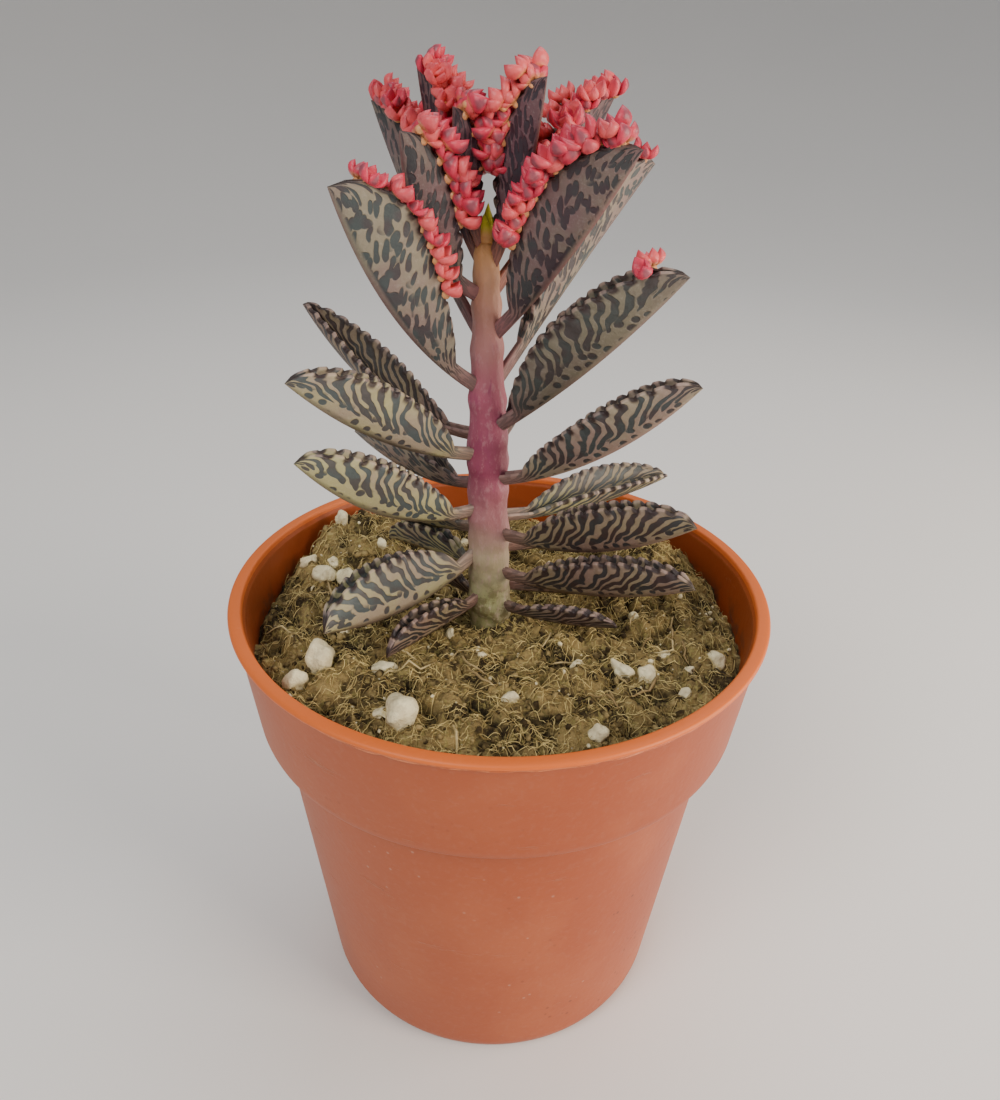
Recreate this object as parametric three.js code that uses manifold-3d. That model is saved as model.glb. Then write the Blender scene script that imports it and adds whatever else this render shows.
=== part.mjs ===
// A potted mother of thousands: a succulent with folded, toothed leaves that carry plantlets.
// It grows in peaty soil with perlite, in a thin plastic nursery pot.
// Units are millimetres. +Z is up, the origin is the middle of the pot's foot, and -Y is the front.
import * as THREE from 'three';
import { mergeVertices } from 'three/addons/utils/BufferGeometryUtils.js';
import Module from 'manifold-3d';

const wasm = await Module();
wasm.setup();

// Driving dimensions of the pot
const POT_HEIGHT = 95;
const RIM_RADIUS = 52.5;
const LIP_HEIGHT = 1.7;
const LIP_WIDTH = 2.6;
const COLLAR_HEIGHT = 24.4;
const COLLAR_FOOT_RADIUS = 48.6;
const BODY_TOP_RADIUS = 44.6;
const FOOT_RADIUS = 36.9;
const WALL = 1.5;
const FOOT_STEP = 1.5;
const FOOT_RING_WIDTH = 4.5;
const FOOT_TUCK = 3.2;
const FLOOR_CURVE = 2.4;
const DRAIN_HOLES = 8;
const DRAIN_RADIUS = 3.2;
const DRAIN_CIRCLE = 22;
const POT_SIDES = 48;
const DRILL_SIDES = 8;

// Driving dimensions of the soil
const GAP = 0.3;
const SOIL_DEPTH_AT_STEM = 8.6;
const SOIL_RINGS = 9;
const SOIL_SIDES = 36;
const SOIL_EDGE_DEPTH = 10;
const SOIL_NET_RADIUS = 47;
const LUMP = 0.55;
const GRAINS = 14;
const GRAIN_CIRCLES = { first: 14, spread: 30 };
const GRAIN_SIZE = { least: 1.3, spread: 1.9 };
const GOLDEN_ANGLE = 2.4;

// Driving dimensions of the stem
const STEM_START = -2.2;
const STEM_LEAN = 0.025;
const ROOT_DEPTH = 24;
const BUD_LEVEL = 67;
const BUD_LENGTH = 5.5;
const BUD_RADIUS = 1.4;
const YOUNG_LEAF = { radius: 1.2, spread: 0.28, azimuths: [250, 70] };
const STEM_SIDES = 12;

// Driving dimensions shared by the leaves
const BLADE = 0.9;
const LEAF_START = 1.6;
const KEEL_HANDLE = 0.52;
const PETIOLE_WIDTH = 2.5;
const PETIOLE_SHARE = 0.14;
const TOOTH = 0.07;
const TOOTHED = [0.22, 0.97];
const STEPS = 20;
const QUARTER = { front_left: 215, front_right: 325, back_left: 145, back_right: 35 };
const PLANTLET_RADIUS = 1.7;
const PLANTLET_LENGTH = 3.2;
const PLANTLET_ROOT = 1.1;
const PLANTLET_GAP = 0.15;

// Each leaf, from the lowest node of the stem to the youngest pair under the bud.
// level is its height on the stem over the pot's rim, reach and rise place its tip from there,
// lift is the slope in degrees at which it leaves the stem, width is from keel to margin, fold is
// the angle in degrees of each half from the plane of the fold, roll leans that plane, and belly
// and blunt say where the blade is widest and how round its end is. turn moves it off its quarter.
// brood is the share of its length where plantlets begin, and how many stand on each margin.
const GROWN = { fold: 15, roll: 0, belly: 0.52, blunt: 0.55, turn: 0, brood: [1, 0, 0] };
const LEAVES = [
  { node: 1, side: 'front_right', level: -5, reach: 29, rise: 6.5, lift: 4, width: 3.8 },
  { node: 1, side: 'back_left', level: -4.6, reach: 20, rise: 1.5, lift: 3, width: 4.6 },
  { node: 2, side: 'front_left', level: -2.9, reach: 28.5, rise: 0.2, lift: -4, width: 6, turn: 16,
    roll: 6 },
  { node: 2, side: 'back_right', level: -1, reach: 28, rise: -1, lift: -5, width: 6, turn: -35 },
  { node: 3, side: 'front_right', level: 2.5, reach: 43, rise: 12.5, lift: 3, width: 7.8 },
  { node: 3, side: 'back_left', level: 2.5, reach: 26, rise: -1, lift: 0, width: 6.5 },
  { node: 4, side: 'front_left', level: 7.4, reach: 38, rise: -2.6, lift: -27, width: 11, turn: 8,
    roll: 24, belly: 0.48, blunt: 0.5 },
  { node: 4, side: 'back_right', level: 6.6, reach: 35, rise: -5, lift: -12, width: 6.4 },
  { node: 5, side: 'front_right', level: 11, reach: 42, rise: 15.5, lift: 2, width: 9 },
  { node: 5, side: 'back_left', level: 11, reach: 32, rise: -4, lift: -16, width: 8, roll: -8 },
  { node: 6, side: 'front_left', level: 16, reach: 38, rise: 19, lift: 0, width: 9.6 },
  { node: 6, side: 'back_right', level: 13.4, reach: 46, rise: -1.5, lift: -12, width: 7.5, fold: 32,
    roll: 10 },
  { node: 7, side: 'front_right', level: 22, reach: 40, rise: 28, lift: 20, width: 8.6, fold: 30,
    roll: 4 },
  { node: 7, side: 'back_left', level: 20.5, reach: 34, rise: 3, lift: -18, width: 8.4, roll: -8 },
  { node: 8, side: 'front_left', level: 27, reach: 38, rise: 21.5, lift: 14, width: 9.6, fold: 18 },
  { node: 8, side: 'back_right', level: 27, reach: 28, rise: 26, lift: 54, width: 6.4 },
  { node: 9, side: 'front_right', level: 32, reach: 36, rise: 34, lift: 38, width: 10.2, fold: 20,
    roll: 15, belly: 0.5, brood: [0.8, 1, 1] },
  { node: 9, side: 'back_left', level: 30, reach: 46, rise: 17.5, lift: -8, width: 8, fold: 28,
    roll: -8 },
  { node: 10, side: 'front_left', level: 39.5, reach: 28.5, rise: 37, lift: 35, width: 11.4, roll: -4,
    belly: 0.66, blunt: 0.42, brood: [0.42, 8, 9] },
  { node: 10, side: 'back_right', level: 39, reach: 35, rise: 37, lift: 50, width: 9, belly: 0.6,
    brood: [0.55, 3, 5] },
  { node: 11, side: 'front_right', level: 49, reach: 27, rise: 33.5, lift: 46, width: 10.2, roll: 6,
    belly: 0.54, blunt: 0.6, brood: [0.36, 8, 9] },
  { node: 11, side: 'back_left', level: 48, reach: 25, rise: 37.5, lift: 50, width: 8.4, belly: 0.6,
    brood: [0.5, 6, 6] },
  { node: 12, side: 'front_left', level: 56, reach: 16, rise: 27.5, lift: 28, width: 7.6, belly: 0.62,
    blunt: 0.45, brood: [0.45, 6, 6] },
  { node: 12, side: 'back_right', level: 56, reach: 25, rise: 31, lift: 46, width: 7.6, belly: 0.6,
    brood: [0.45, 6, 6] },
  { node: 13, side: 'front_right', level: 61, reach: 10.5, rise: 30, lift: 62, width: 5.8, belly: 0.6,
    brood: [0.5, 5, 5] },
  { node: 13, side: 'back_left', level: 61, reach: 14.5, rise: 30.5, lift: 53, width: 6.2, belly: 0.6,
    brood: [0.45, 5, 5] },
  { node: 14, side: 'front_left', level: 64.5, reach: 6.5, rise: 22, lift: 62, width: 4.6, belly: 0.6,
    brood: [0.5, 4, 4] },
  { node: 14, side: 'back_right', level: 64.5, reach: 7.5, rise: 21, lift: 62, width: 4.6, belly: 0.6,
    brood: [0.5, 4, 4] },
].map((leaf) => ({ ...GROWN, ...leaf }));

const rad = THREE.MathUtils.degToRad;

// A repeatable stream of numbers from 0 to 1, so that every build draws the same ones.
function draws(seed) {
  let state = seed;
  return () => {
    state = (state * 48271) % 2147483647;
    return state / 2147483647;
  };
}

// The middle of the stem at a height over the rim: it starts left of the pot's middle and leans.
function stemAt(level) {
  return new THREE.Vector3(STEM_START - STEM_LEAN * level, 0, POT_HEIGHT + level);
}

// A closed solid through rings of equally many points, with a flat fan over each end.
function loft(rings) {
  const sides = rings[0].length;
  const points = rings.flat();
  const faces = [];
  for (let i = 0; i + 1 < rings.length; i += 1) {
    for (let j = 0; j < sides; j += 1) {
      const next = (j + 1) % sides;
      const [a, b] = [i * sides + j, i * sides + next];
      faces.push(a, b, b + sides, a, b + sides, a + sides);
    }
  }
  const last = (rings.length - 1) * sides;
  for (let j = 1; j + 1 < sides; j += 1) {
    faces.push(0, j + 1, j, last, last + j, last + j + 1);
  }
  return geometryOf(points, faces);
}

function geometryOf(points, faces) {
  const geometry = new THREE.BufferGeometry().setFromPoints(points);
  geometry.setIndex(faces);
  return geometry;
}

// A geometry as a solid that can be joined and cut, and back again.
function solidOf(geometry) {
  const bare = geometry.clone();
  bare.deleteAttribute('normal');
  bare.deleteAttribute('uv');
  const merged = mergeVertices(bare, 1e-5);
  const vertProperties = new Float32Array(merged.attributes.position.array);
  const triVerts = new Uint32Array(merged.index.array);
  return new wasm.Manifold(new wasm.Mesh({ numProp: 3, vertProperties, triVerts }));
}

function geometryFrom(solid) {
  const mesh = solid.getMesh();
  const geometry = new THREE.BufferGeometry();
  geometry.setAttribute('position', new THREE.BufferAttribute(new Float32Array(mesh.vertProperties), 3));
  geometry.setIndex(new THREE.BufferAttribute(new Uint32Array(mesh.triVerts), 1));
  return geometry;
}

// The largest body of a solid, so that a scrap left by a cut is dropped.
function mainBody(solid) {
  const bodies = solid.decompose();
  return bodies.reduce((best, body) => (body.volume() > best.volume() ? body : best));
}

const object = new THREE.Group();

function add(name, solid, colour, roughness) {
  const material = new THREE.MeshStandardMaterial({ color: colour, roughness, metalness: 0 });
  const mesh = new THREE.Mesh(geometryFrom(solid), material);
  mesh.name = name;
  object.add(mesh);
}

// The inner wall of the pot from its floor to its lip, as radius and height.
const collarFoot = POT_HEIGHT - COLLAR_HEIGHT;
const floorTop = FOOT_STEP + WALL;
const INNER_WALL = [
  [FOOT_RADIUS - WALL - FLOOR_CURVE, floorTop],
  [FOOT_RADIUS - WALL, floorTop + FLOOR_CURVE],
  [BODY_TOP_RADIUS - WALL, collarFoot - WALL],
  [COLLAR_FOOT_RADIUS - WALL, collarFoot],
  [RIM_RADIUS - LIP_WIDTH - 0.5, POT_HEIGHT - LIP_HEIGHT],
  [RIM_RADIUS - LIP_WIDTH, POT_HEIGHT - 0.6],
];

// The pot is moulded in one piece: a tapered body, a wider collar and a rounded lip. It stands on
// a ring, and its raised floor has drain holes.
function potSolid() {
  const foot = FOOT_RADIUS - FOOT_TUCK;
  const lipFoot = POT_HEIGHT - LIP_HEIGHT;
  const profile = [
    [0, FOOT_STEP],
    [foot - FOOT_RING_WIDTH - FOOT_STEP, FOOT_STEP],
    [foot - FOOT_RING_WIDTH, 0],
    [foot, 0],
    [foot + 2.2, 0.9],
    [FOOT_RADIUS + 0.3, 3.4],
    [BODY_TOP_RADIUS, collarFoot - 1.2],
    [COLLAR_FOOT_RADIUS, collarFoot],
    [RIM_RADIUS - 1.1, lipFoot],
    [RIM_RADIUS - 0.2, lipFoot + 0.3],
    [RIM_RADIUS, lipFoot + 0.8],
    [RIM_RADIUS - 0.4, POT_HEIGHT - 0.3],
    [RIM_RADIUS - 1, POT_HEIGHT],
    [RIM_RADIUS - LIP_WIDTH + 0.6, POT_HEIGHT],
    ...INNER_WALL.toReversed(),
    [0, floorTop],
  ];
  const lathe = new THREE.LatheGeometry(profile.map(([r, z]) => new THREE.Vector2(r, z)), POT_SIDES);
  lathe.rotateX(Math.PI / 2);
  let pot = solidOf(lathe);
  for (let i = 0; i < DRAIN_HOLES; i += 1) {
    const angle = ((i + 0.5) * 2 * Math.PI) / DRAIN_HOLES;
    const drill = new THREE.CylinderGeometry(DRAIN_RADIUS, DRAIN_RADIUS, 3 * floorTop, DRILL_SIDES);
    drill.rotateX(Math.PI / 2);
    drill.translate(DRAIN_CIRCLE * Math.cos(angle), DRAIN_CIRCLE * Math.sin(angle), FOOT_STEP);
    pot = pot.subtract(solidOf(drill));
  }
  return pot;
}

// The height of the soil over the pot's foot. It heaps up at the back left and the back right,
// sinks a little along the wall, and is lumpy all over.
function soilHeight(x, y) {
  const heap = (cx, cy, height, spread) =>
    height * Math.exp(-((x - cx) ** 2 + (y - cy) ** 2) / spread ** 2);
  const radius = Math.hypot(x, y);
  const sink = 2.2 * THREE.MathUtils.smoothstep(radius, 38, 49);
  const lumps =
    Math.sin(0.42 * x + 1.3) * Math.cos(0.37 * y + 0.4) +
    0.7 * Math.sin(0.23 * x - 0.61 * y) +
    0.5 * Math.cos(0.71 * x + 0.5 * y + 2);
  const heaps = heap(-33, 27, 8.5, 14) + heap(33, 20, 6.5, 12) + heap(4, -30, 2, 16);
  return POT_HEIGHT - SOIL_DEPTH_AT_STEM + heaps - sink + LUMP * lumps;
}

// The radius of the pot's inner wall at a height.
function wallRadius(z) {
  const above = INNER_WALL.findIndex(([, height]) => height > z);
  if (above <= 0) {
    return INNER_WALL[above === 0 ? 0 : INNER_WALL.length - 1][0];
  }
  const [[r0, z0], [r1, z1]] = [INNER_WALL[above - 1], INNER_WALL[above]];
  return r0 + ((r1 - r0) * (z - z0)) / (z1 - z0);
}

// The soil fills the pot to its wall. Its top is a round net of points at the soil's height, and
// crumbs of white perlite are sunk into it. The stem stands in a plain hole.
function soilSolid(hole) {
  const around = (radius, height) =>
    Array.from({ length: SOIL_SIDES }, (_, j) => {
      const angle = (j * 2 * Math.PI) / SOIL_SIDES;
      const [x, y] = [radius * Math.cos(angle), radius * Math.sin(angle)];
      return new THREE.Vector3(x, y, height === undefined ? soilHeight(x, y) : height);
    });
  const levels = INNER_WALL.slice(0, 4).map(([r, z]) => around(r - GAP - 0.05, z + GAP));
  const edge = around(wallRadius(POT_HEIGHT - SOIL_EDGE_DEPTH) - 2 * GAP);
  const inner = [];
  for (let i = SOIL_RINGS - 1; i >= 1; i -= 1) {
    inner.push(around((SOIL_NET_RADIUS * i) / SOIL_RINGS));
  }
  let soil = solidOf(loft([...levels, edge, ...inner, around(1)]));
  const draw = draws(7);
  for (let i = 0; i < GRAINS; i += 1) {
    const angle = i * GOLDEN_ANGLE;
    const radius = GRAIN_CIRCLES.first + GRAIN_CIRCLES.spread * Math.sqrt((i + 0.5) / GRAINS);
    const [x, y] = [radius * Math.cos(angle), radius * Math.sin(angle)];
    const size = GRAIN_SIZE.least + GRAIN_SIZE.spread * draw() ** 2;
    const grain = new THREE.IcosahedronGeometry(size, 0);
    grain.rotateX(6 * draw());
    grain.rotateZ(6 * draw());
    grain.translate(x, y, soilHeight(x, y) + 0.15 * size);
    soil = soil.add(solidOf(grain));
  }
  return mainBody(soil.subtract(hole));
}

// The stem's radius at its levels over the rim, from its foot in the soil to under the bud.
const STEM_STATIONS = [
  [-ROOT_DEPTH, 2.2],
  [-12, 3.4],
  [-5, 3.9],
  [2, 3.5],
  [10, 3.6],
  [30, 3.5],
  [45, 2.8],
  [56, 2.2],
  [64, 1.7],
  [BUD_LEVEL, 1.2],
];

// A round bar along the stem's middle through those stations.
function stemBar(extra) {
  return solidOf(
    loft(
      STEM_STATIONS.map(([level, radius]) =>
        Array.from({ length: STEM_SIDES }, (_, j) => {
          const angle = (j * 2 * Math.PI) / STEM_SIDES;
          const spoke = new THREE.Vector3(Math.cos(angle), Math.sin(angle), 0);
          return stemAt(level).addScaledVector(spoke, radius + extra);
        })
      )
    )
  );
}

// A pointed young leaf: four sides, widest a third of the way up.
function spindle(from, along, length, radius) {
  const frame = new THREE.Quaternion().setFromUnitVectors(new THREE.Vector3(0, 0, 1), along);
  const at = (r, z) =>
    [0, 1, 2, 3].map((j) =>
      new THREE.Vector3(r * Math.cos((j * Math.PI) / 2), r * Math.sin((j * Math.PI) / 2), z)
        .applyQuaternion(frame)
        .add(from)
    );
  return solidOf(loft([at(0.4 * radius, 0), at(radius, 0.35 * length), at(0.15 * radius, length)]));
}

// The stem is one upright shoot. Its tip carries a bud between two folded young leaves. With
// extra it is that much thicker, as the room that the leaves and the soil leave round it.
function stemSolid(extra = 0) {
  const tip = stemAt(BUD_LEVEL - 2.5);
  const upright = new THREE.Vector3(0, 0, 1);
  let stem = stemBar(extra).add(spindle(tip, upright, BUD_LENGTH + extra, BUD_RADIUS + extra));
  for (const azimuth of YOUNG_LEAF.azimuths) {
    const along = new THREE.Vector3(Math.cos(rad(azimuth)), Math.sin(rad(azimuth)), 0)
      .multiplyScalar(YOUNG_LEAF.spread)
      .add(upright)
      .normalize();
    stem = stem.add(spindle(tip, along, 1.3 * BUD_LENGTH + extra, YOUNG_LEAF.radius + 1.5 * extra));
  }
  return stem;
}

// One leaf's keel line and frames. The keel is a quadratic curve in the upright plane of the
// leaf: it leaves the stem at the angle lift and ends at reach and rise.
function leafFrames(leaf) {
  const azimuth = rad(QUARTER[leaf.side] + leaf.turn);
  const out = new THREE.Vector3(Math.cos(azimuth), Math.sin(azimuth), 0);
  const across = new THREE.Vector3(-Math.sin(azimuth), Math.cos(azimuth), 0);
  const up = new THREE.Vector3(0, 0, 1);
  const start = stemAt(leaf.level).addScaledVector(out, LEAF_START);
  const [reach, rise] = [leaf.reach - LEAF_START, leaf.rise];
  const handle = KEEL_HANDLE * Math.hypot(reach, rise);
  const [hx, hz] = [handle * Math.cos(rad(leaf.lift)), handle * Math.sin(rad(leaf.lift))];
  return (s) => {
    const [p, q] = [2 * s * (1 - s), s * s];
    const point = start
      .clone()
      .addScaledVector(out, p * hx + q * reach)
      .addScaledVector(up, p * hz + q * rise);
    const tangent = new THREE.Vector3()
      .addScaledVector(out, 2 * (1 - 2 * s) * hx + 2 * s * reach)
      .addScaledVector(up, 2 * (1 - 2 * s) * hz + 2 * s * rise)
      .normalize();
    const side = across.clone().applyAxisAngle(tangent, rad(leaf.roll));
    return { point, tangent, side, over: tangent.clone().cross(side) };
  };
}

// The width from keel to margin: a narrow petiole, then a blade that is widest at its belly.
function leafWidth(leaf, s) {
  const u = THREE.MathUtils.clamp((s - PETIOLE_SHARE) / (1 - PETIOLE_SHARE), 0, 1);
  const a = (leaf.blunt * leaf.belly) / (1 - leaf.belly);
  const top = leaf.belly ** a * (1 - leaf.belly) ** leaf.blunt;
  const blade = (leaf.width * u ** a * (1 - u) ** leaf.blunt) / top;
  return Math.max(blade, PETIOLE_WIDTH * (1 - 0.5 * s));
}

// A leaf folded along its keel into a V, with teeth along both margins. Each cross-section is
// the keel, the two margins, and the same V inside it, a blade's thickness away.
function bladeSolid(leaf) {
  const frameAt = leafFrames(leaf);
  const fold = rad(leaf.fold);
  const rings = [];
  for (let i = 0; i <= STEPS; i += 1) {
    const s = i / STEPS;
    const { point, side, over } = frameAt(s);
    const tooth = s > TOOTHED[0] && s < TOOTHED[1] ? 1 + TOOTH * (i % 2 === 0 ? 1 : -1) : 1;
    const width = leafWidth(leaf, s) * tooth;
    const [a, h] = [width * Math.sin(fold), width * Math.cos(fold)];
    const g = Math.max(a - BLADE / Math.cos(fold), 0.12);
    const at = (x, z) => point.clone().addScaledVector(side, x).addScaledVector(over, z);
    const deep = Math.min(g / Math.tan(fold), 0.8 * h);
    rings.push([at(0, 0), at(a, h), at(g, h), at(0, h - deep), at(-g, h), at(-a, h)]);
  }
  return solidOf(loft(rings));
}

// A plantlet is a tiny rosette: four pointed leaflets round a short foot, sunk into the margin.
function plantletSolid(foot, along, size, twist) {
  const frame = new THREE.Quaternion().setFromUnitVectors(new THREE.Vector3(0, 0, 1), along);
  const place = (r, angle, z) =>
    new THREE.Vector3(r * Math.cos(angle), r * Math.sin(angle), z)
      .multiplyScalar(size)
      .applyQuaternion(frame)
      .add(foot);
  const points = [place(0, 0, -PLANTLET_ROOT), place(0, 0, 0.5 * PLANTLET_LENGTH)];
  const faces = [];
  for (let j = 0; j < 8; j += 1) {
    const angle = twist + (j * Math.PI) / 4;
    const tip = j % 2 === 0;
    points.push(
      tip
        ? place(PLANTLET_RADIUS, angle, 0.8 * PLANTLET_LENGTH)
        : place(0.6 * PLANTLET_RADIUS, angle, 0.28 * PLANTLET_LENGTH)
    );
    const [here, next] = [2 + j, 2 + ((j + 1) % 8)];
    faces.push(0, next, here, 1, here, next);
  }
  return solidOf(geometryOf(points, faces));
}

// Where the plantlets stand: in the notches of both margins, from the first of the brood's share
// of the leaf to its tip, each leaning out from the blade and on towards the tip.
function plantletsOf(leaf, seed) {
  const draw = draws(seed);
  const frameAt = leafFrames(leaf);
  const fold = rad(leaf.fold);
  const [from, far, near] = leaf.brood;
  const found = [];
  for (const [way, count] of [[1, far], [-1, near]]) {
    for (let i = 0; i < count; i += 1) {
      const s = from + (1 - from) * ((i + 0.6) / count);
      const { point, tangent, side, over } = frameAt(Math.min(s, 0.985));
      const width = leafWidth(leaf, s);
      const foot = point
        .clone()
        .addScaledVector(side, way * width * Math.sin(fold) * 0.9)
        .addScaledVector(over, width * Math.cos(fold) - 0.2);
      const along = over
        .clone()
        .addScaledVector(tangent, 0.5 + 0.4 * draw())
        .addScaledVector(side, way * (0.25 + 0.35 * draw()))
        .normalize();
      found.push(plantletSolid(foot, along, 0.85 + 0.35 * draw(), 6 * draw()));
    }
  }
  return found;
}

const clearance = stemSolid(GAP);
const blades = LEAVES.map((leaf) => mainBody(bladeSolid(leaf).subtract(clearance)));
const stem = stemSolid();

// A plantlet is kept only where it is clear of the stem, of every other leaf and of the
// plantlets that those already carry.
const placed = [...blades];
LEAVES.forEach((leaf, index) => {
  let grown = blades[index];
  for (const plantlet of plantletsOf(leaf, 101 + index)) {
    const others = placed.filter((_, other) => other !== index);
    if ([stem, ...others].every((other) => plantlet.minGap(other, 1) > PLANTLET_GAP)) {
      grown = grown.add(plantlet);
    }
  }
  placed[index] = mainBody(grown);
});

add('pot', potSolid(), 0xb86c48, 0.5);
add('soil', soilSolid(clearance), 0x5a4a2c, 0.95);
add('stem', stem, 0xa87a80, 0.6);
LEAVES.forEach((leaf, index) => {
  add(`leaf_${String(leaf.node).padStart(2, '0')}_${leaf.side}`, placed[index], 0x8f8a78, 0.55);
});

export default object;
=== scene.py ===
"""A potted mother of thousands: a succulent with folded, striped leaves and pink plantlets.

This script dresses the CAD solids. It replaces each with a finer surface built from the same
driving sizes, which are repeated here, and adds the soil's fibres and crumbs. The sizes of the
plant and the pot are in millimetres, and MM turns them into Blender's metres.
"""

import math

import bmesh
import bpy
import numpy as np
from mathutils import Matrix, Vector


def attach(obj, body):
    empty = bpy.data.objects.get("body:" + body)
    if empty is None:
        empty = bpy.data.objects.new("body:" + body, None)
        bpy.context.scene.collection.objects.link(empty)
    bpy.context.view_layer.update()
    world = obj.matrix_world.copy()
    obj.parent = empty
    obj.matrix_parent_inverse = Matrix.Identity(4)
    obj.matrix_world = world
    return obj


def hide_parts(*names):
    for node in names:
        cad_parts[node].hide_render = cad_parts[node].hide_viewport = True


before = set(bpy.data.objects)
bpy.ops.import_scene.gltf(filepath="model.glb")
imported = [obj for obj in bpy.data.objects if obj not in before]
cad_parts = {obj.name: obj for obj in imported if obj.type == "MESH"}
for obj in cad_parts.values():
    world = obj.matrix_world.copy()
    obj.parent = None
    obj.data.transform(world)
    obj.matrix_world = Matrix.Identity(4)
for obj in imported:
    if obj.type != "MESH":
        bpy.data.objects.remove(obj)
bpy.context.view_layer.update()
MM = 0.001


# The pot is one injection-moulded piece of thin terracotta-coloured plastic: a tapered body, a
# wider collar and a rounded lip with a parting line under it. It stands on a ring, and its raised
# floor has eight drain holes.
POT_SIDES = 288
POT_HEIGHT = 95.0
RIM_RADIUS = 52.5
LIP_HEIGHT = 1.7
LIP_WIDTH = 2.6
COLLAR_FOOT = 70.6
COLLAR_FOOT_RADIUS = 48.6
BODY_TOP_RADIUS = 44.6
FOOT_RADIUS = 36.9
FOOT_TUCK = 3.2
FOOT_RING_WIDTH = 4.5
FOOT_STEP = 1.5
WALL = 1.5
FLOOR_CURVE = 2.4
DRAIN_HOLES = 8
DRAIN_RADIUS = 3.2
DRAIN_CIRCLE = 22.0
DRAIN_BAND = (14.0, 27.5)
PLASTIC = (0.350, 0.066, 0.015)
PLASTIC_PALE = (0.42, 0.102, 0.034)
PLASTIC_PAINTED_SHADE = (0.30, 0.055, 0.010)
DUST = (0.62, 0.50, 0.40)
DARK_UMBER = (0.055, 0.032, 0.02)
LIP_PAINTED_HIGHLIGHT = (0.70, 0.145, 0.018)
SEAM_PAINTED_HIGHLIGHT = (0.74, 0.27, 0.12)
SPECK_RED = (0.12, 0.022, 0.008)
DRAIN_ROWS = 4
DRAIN_SIDES = 48
FLOOR_SIDES = 96


def rounded(points, cuts=5):
    """An outline through points with each inner corner cut by a parabola.

    A point is (radius, height, share): the parabola starts and ends that share of the way to
    the nearer middle of the two sides that meet there, and touches both.
    """
    line = [np.array(points[0][:2], float)]
    for before, here, after in zip(points, points[1:], points[2:]):
        corner = np.array(here[:2], float)
        share = here[2] if len(here) > 2 else 0.0
        if share == 0.0:
            line.append(corner)
            continue
        arm = 0.5 * share * min(
            np.linalg.norm(corner - before[:2]), np.linalg.norm(corner - after[:2])
        )
        start = corner + arm * (before[:2] - corner) / np.linalg.norm(corner - before[:2])
        end = corner + arm * (after[:2] - corner) / np.linalg.norm(corner - after[:2])
        for t in np.linspace(0.0, 1.0, cuts):
            line.append((1 - t) ** 2 * start + 2 * t * (1 - t) * corner + t * t * end)
    line.append(np.array(points[-1][:2], float))
    return np.array(line)


def quads(rows, columns):
    """The quads of a grid of rows times columns points, closed across its columns."""
    here = np.arange(rows * columns).reshape(rows, columns)
    beside = np.roll(here, -1, axis=1)
    return np.stack([here[:-1], beside[:-1], beside[1:], here[1:]], -1).reshape(-1, 4)


def piece(name, patches, material, replaced=(), layers=None):
    """A mesh object from patches of (points, faces), which rides on the part's only body.

    layers holds named values of every point: two numbers make a UV map, and one an attribute.
    Points that coincide are merged, which closes seams and poles, and faces are turned outwards.
    """
    points = np.concatenate([np.reshape(p, (-1, 3)) for p, _ in patches]) * MM
    start, faces = 0, []
    for patch, corners in patches:
        faces.append(corners + start)
        start += np.reshape(patch, (-1, 3)).shape[0]
    mesh = bpy.data.meshes.new(name)
    mesh.from_pydata(points, [], [f.tolist() for block in faces for f in block])
    corner = np.empty(len(mesh.loops), np.int32)
    mesh.loops.foreach_get("vertex_index", corner)
    for layer, values in (layers or {}).items():
        values = np.asarray(values, np.float32)
        if values.ndim == 2:
            uv = mesh.uv_layers.new(name=layer)
            uv.data.foreach_set("uv", values[corner].ravel())
        else:
            mesh.attributes.new(layer, "FLOAT", "POINT").data.foreach_set("value", values)
    net = bmesh.new()
    net.from_mesh(mesh)
    bmesh.ops.remove_doubles(net, verts=net.verts, dist=2e-7)
    bmesh.ops.recalc_face_normals(net, faces=net.faces)
    net.to_mesh(mesh)
    net.free()
    mesh.polygons.foreach_set("use_smooth", np.full(len(mesh.polygons), True))
    obj = bpy.data.objects.new(name, mesh)
    bpy.context.scene.collection.objects.link(obj)
    mesh.materials.append(material)
    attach(obj, "root")
    if replaced:
        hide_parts(*replaced)
    return obj


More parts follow.
